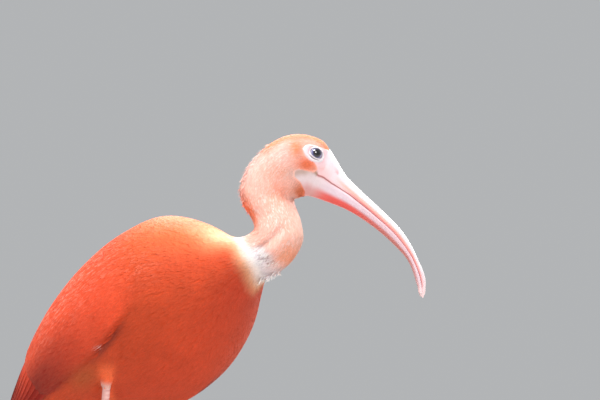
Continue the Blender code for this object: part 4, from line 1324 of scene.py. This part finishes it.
def billDepth(place, angle):
    around, mouth, cut = fromBack(angle), mouthLine(place), bill["grooves"]
    long = ramp(place, 23.6, 24.6) * fade(place, 29.8, 30.8)
    deep = (cut["upper"] * bump(around, 56, 9) + cut["mouth"] * bump(around, mouth, 3.5)
            + cut["lip"] * bump(around, mouth + 9, 6) + cut["lower"] * bump(around, 128, 8)) * long
    nostril = cut["nostril"] * bump(around, 50, 8) * bump(place, 24.72, 0.2)
    return deep + nostril + cut["roundTip"] * bump(place, 30.62, 0.28)


def billColour(place, angle):
    around, mouth = fromBack(angle), mouthLine(place)
    share = jawShare(place, around)
    plain, pale = (np.broadcast_to(billShades[name], (len(place), 3)) for name in ("pink", "pale"))
    # the pale top: partly its own colour, partly a painted highlight
    tint = blend(blend(plain, billShades["ridge"], fade(around, 15, 50)), faceShades["blush"],
                 0.4 * bump(place, 23.6, 0.9) * bump(around, 84, 22))
    along = ramp(place, 24.6, 25.6) * fade(place, 28.6, 30.2)
    tint = blend(tint, billShades["groove"], 0.75 * bump(around, 70, 11) * along)
    # painted shade on the underside towards the tip
    below = mix(billShades["under"], billShades["paintedUnderShade"], ramp(place, 26.0, 28.0)[:, None])
    lower = blend(pale, below, ramp(share, 0.42, 0.72) * (1 - 0.4 * ramp(place, 28.3, 30.3)))
    lower = blend(lower, billShades["under"], 0.14 * ramp(place, 25.5, 27.5) * fade(place, 28.5, 30))
    lower = blend(jawTint(tint, share), lower, ramp(place, 23.2, 25.6))
    edge = ramp(place, 25, 26.6) * fade(place, 29.6, 30.8)
    dark = (1 - 0.6 * ramp(place, 25.8, 28.0)) * fade(place, 29.5, 30.8)
    return paintOver(np.where((around > mouth)[:, None], lower, tint), billShades, (
        ("tip", 0.7 * ramp(place, 29.6, 30.8)),
        ("line", 0.8 * bump(around, mouth - 7, 8) * edge),
        ("mouth", 0.85 * dark * bump(around, mouth, 2.2)),
        ("nostril", 0.4 * bump(around, 50, 6) * bump(place, 24.72, 0.16)),
    ))


def makeBill(name, upper):
    rings, paints = [], []
    for place in np.linspace(bill["start"], bill["ends"][name], bill["rings"]):
        mouth = mouthLine(place)
        outer = np.linspace(*((-mouth, mouth) if upper else (mouth, 360 - mouth)), bill["corners"])
        at = np.full(len(outer), place)
        ring = onBird(at, outer, billDepth(at, outer))
        upright = unit(onBird([place], [0.0])[0] - onBird([place], [180.0])[0]) * (1 if upper else -1)
        inner = np.array([mix(ring[-1], ring[0], s) for s in (0.2, 0.4, 0.6, 0.8)])
        ring = np.vstack([ring, inner + upright * bill["hollow"] * min(1, 31.2 - place)])
        rings.append(ring + upright * bill["gap"] * min(1, 31.4 - place))
        paints.append(np.vstack([billColour(at, outer), np.broadcast_to(billShades["mouth"], (4, 3))]))
    piece = finished(name, loft(rings, channels, paints), billMaterial, 50)
    setPaint(piece.data)
    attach(piece, "root")
    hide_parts("bill_upper" if upper else "bill_lower")


makeBill("bill_top", True)
makeBill("bill_under", False)
print("bill")


# Legs, toes, webs and claws
foot = {
    # length and heading
    "toes": {"middle": (62, 0), "inner": (46, 27), "outer": (51, -29), "hind": (25, 172)},
    "heights": [(0.0, 7.0), (0.10, 5.2), (0.26, 3.2), (0.55, 2.6), (0.8, 2.3), (1.0, 2.1)],
    "radii": (3.4, 3.3, 3.1, 2.7, 2.4, 1.9),
    "hindRadii": (2.9, 2.8, 2.6, 2.4, 2.1, 1.7),
    "joints": 3.5,
    "hindJoints": 2,
    # the shin's radii, at heights counted downwards from the ankle
    "shinHeights": (-60, -42, -24, -12, -4, 0, 4, 9, 18, 42, 78, 85, 92),
    "shinRadii": (3.0, 2.9, 2.7, 3.1, 4.4, 4.8, 4.9, 4.2, 3.2, 2.7, 3.2, 3.9, 4.4),
    "shinScutes": {"every": 3.4, "high": 0.22},
    "toeScutes": {"every": 2.3, "high": 0.2},
    "claw": {"length": 9.0, "radii": (1.7, 1.35, 0.8, 0.3),
             "bend": [(0.0, 0.0), (0.45, 0.5), (0.8, 0.0), (1.0, -1.2)]},
    "web": {"reach": 15.0, "sag": 3.2, "top": 2.9, "under": 1.9, "steps": 15},
    "pink": (236, 176, 168),
    "pale": (246, 214, 208),
    "scute": (214, 142, 136),
    "clawShade": (52, 38, 38),
}
footShades = shadesOf(foot, "pink", "pale", "scute", "clawShade")


def tubeRings(line, radii, corners, upward, shade, scute=None):
    way = unit(np.gradient(line, axis=0))
    across = unit(np.cross(way, upward))
    up = np.cross(across, way)
    run = runAlong(line)
    turned = np.arange(corners) * 2 * np.pi / corners
    front = ramp(np.sin(turned), 0.25, 0.6)
    rings, paints = [], []
    for i, spot in enumerate(line):
        reach = np.full(corners, radii[i])
        paint = np.broadcast_to(footShades[shade], (corners, 3))
        if scute:
            wave = (run[i] / scute["every"]) % 1
            reach = reach + scute["high"] * front * (ramp(wave, 0, 0.25) - ramp(wave, 0.82, 1.0))
            paint = paintOver(paint, footShades, (("scute", front * fade(wave, 0.05, 0.2) * 0.8),
                                                  ("pale", front * bump(wave, 0.55, 0.25) * 0.6)))
        sideways, upwards = np.outer(np.cos(turned) * reach, across[i]), np.outer(np.sin(turned) * reach, up[i])
        rings.append(spot + sideways + upwards)
        paints.append(paint)
    return rings, paints


def joinLofts(name, parts, material):
    joined = bmesh.new()
    for rings, paints in parts:
        data = bpy.data.meshes.new("part")
        one = loft(rings, channels, paints)
        one.to_mesh(data)
        one.free()
        joined.from_mesh(data)
        bpy.data.meshes.remove(data)
    piece = finished(name, joined, material, 60)
    setPaint(piece.data)
    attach(piece, "root")
    return piece


def sampled(values, count):
    return np.interp(np.linspace(0, 1, count), np.linspace(0, 1, len(values)), values)


def webRings(base, first, second):
    web, rings, paints = foot["web"], [], []
    steps = np.linspace(0, 1, web["steps"])
    for share in np.linspace(0.02, 1, 14):
        a, b = base + first * web["reach"] * share, base + second * web["reach"] * share
        sag = np.sin(steps * np.pi) * web["sag"] * share**2
        line = np.array([mix(a, b, s) for s in steps]) - unit(first + second) * sag[:, None]
        rings.append(np.vstack([line + [0, 0, web["top"]], line[::-1] + [0, 0, web["under"]]]))
        paints.append(np.broadcast_to(footShades["pale"], (2 * web["steps"], 3)))
    return rings, paints


def shinRings(top, ankle, ground):
    upper, lower = unit(ankle - top), unit(ground - ankle)
    line = smoothLine([top - upper * 7, mix(top, ankle, 0.5), ankle - upper * 7, ankle, ankle + lower * 7,
                       mix(ankle, ground, 0.5), ground, ground + lower * 3.5], 150)
    radii = np.interp(ankle[2] - line[:, 2], foot["shinHeights"], foot["shinRadii"])
    return tubeRings(line, radii, 28, (1.0, 0, 0), "pink", foot["shinScutes"])


def toeRings(base, way, length, hind):  # a toe and its claw
    share = np.linspace(0, 1, 70)
    line = smoothLine([base + way * length * s + [0, 0, z] for s, z in foot["heights"]], 70)
    joint = 0.9 + 0.12 * np.cos(share * foot["hindJoints" if hind else "joints"] * 2 * np.pi)
    ends = np.sqrt(np.clip(1 - (share - 0.93).clip(0) ** 2 / 0.07**2 * 0.5, 0.3, 1))
    radii = sampled(foot["hindRadii" if hind else "radii"], 70) * joint * ends
    line[:, 2] = np.maximum(line[:, 2], radii + 0.05)
    claw, tip = foot["claw"], line[-1] - way * 1.2
    bend = smoothLine([tip + way * claw["length"] * s * 1.12 + [0, 0, z] for s, z in claw["bend"]], 26)
    return (tubeRings(line, radii, 20, (0, 0, 1.0), "pink", foot["toeScutes"]),
            tubeRings(bend, sampled(claw["radii"], 26), 16, (0, 0, 1.0), "clawShade"))


def makeLeg(side):
    leg = legPoints(side)
    base = leg["foot"] * [1, 1, 0]
    parts, claws, ways = [shinRings(leg["bare"], leg["ankle"], leg["foot"])], [], {}
    for toe, (length, spread) in foot["toes"].items():
        heading = math.radians(-sides[side] * spread)
        ways[toe] = np.array([math.cos(heading), math.sin(heading), 0])
        rings, claw = toeRings(base, ways[toe], length, toe == "hind")
        parts.append(rings)
        claws.append(claw)
    parts += [webRings(base, ways["middle"], ways[other]) for other in ("inner", "outer")]
    piece = joinLofts("leg_" + side, parts, legMaterial)
    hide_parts("tibia_" + side, "tarsus_" + side, "foot_" + side)
    piece = joinLofts("claws_" + side, claws, clawMaterial)
    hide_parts(*(f"claw_{side}_{toe}" for toe in foot["toes"]))


for side in sides:
    makeLeg(side)
print("legs and claws")
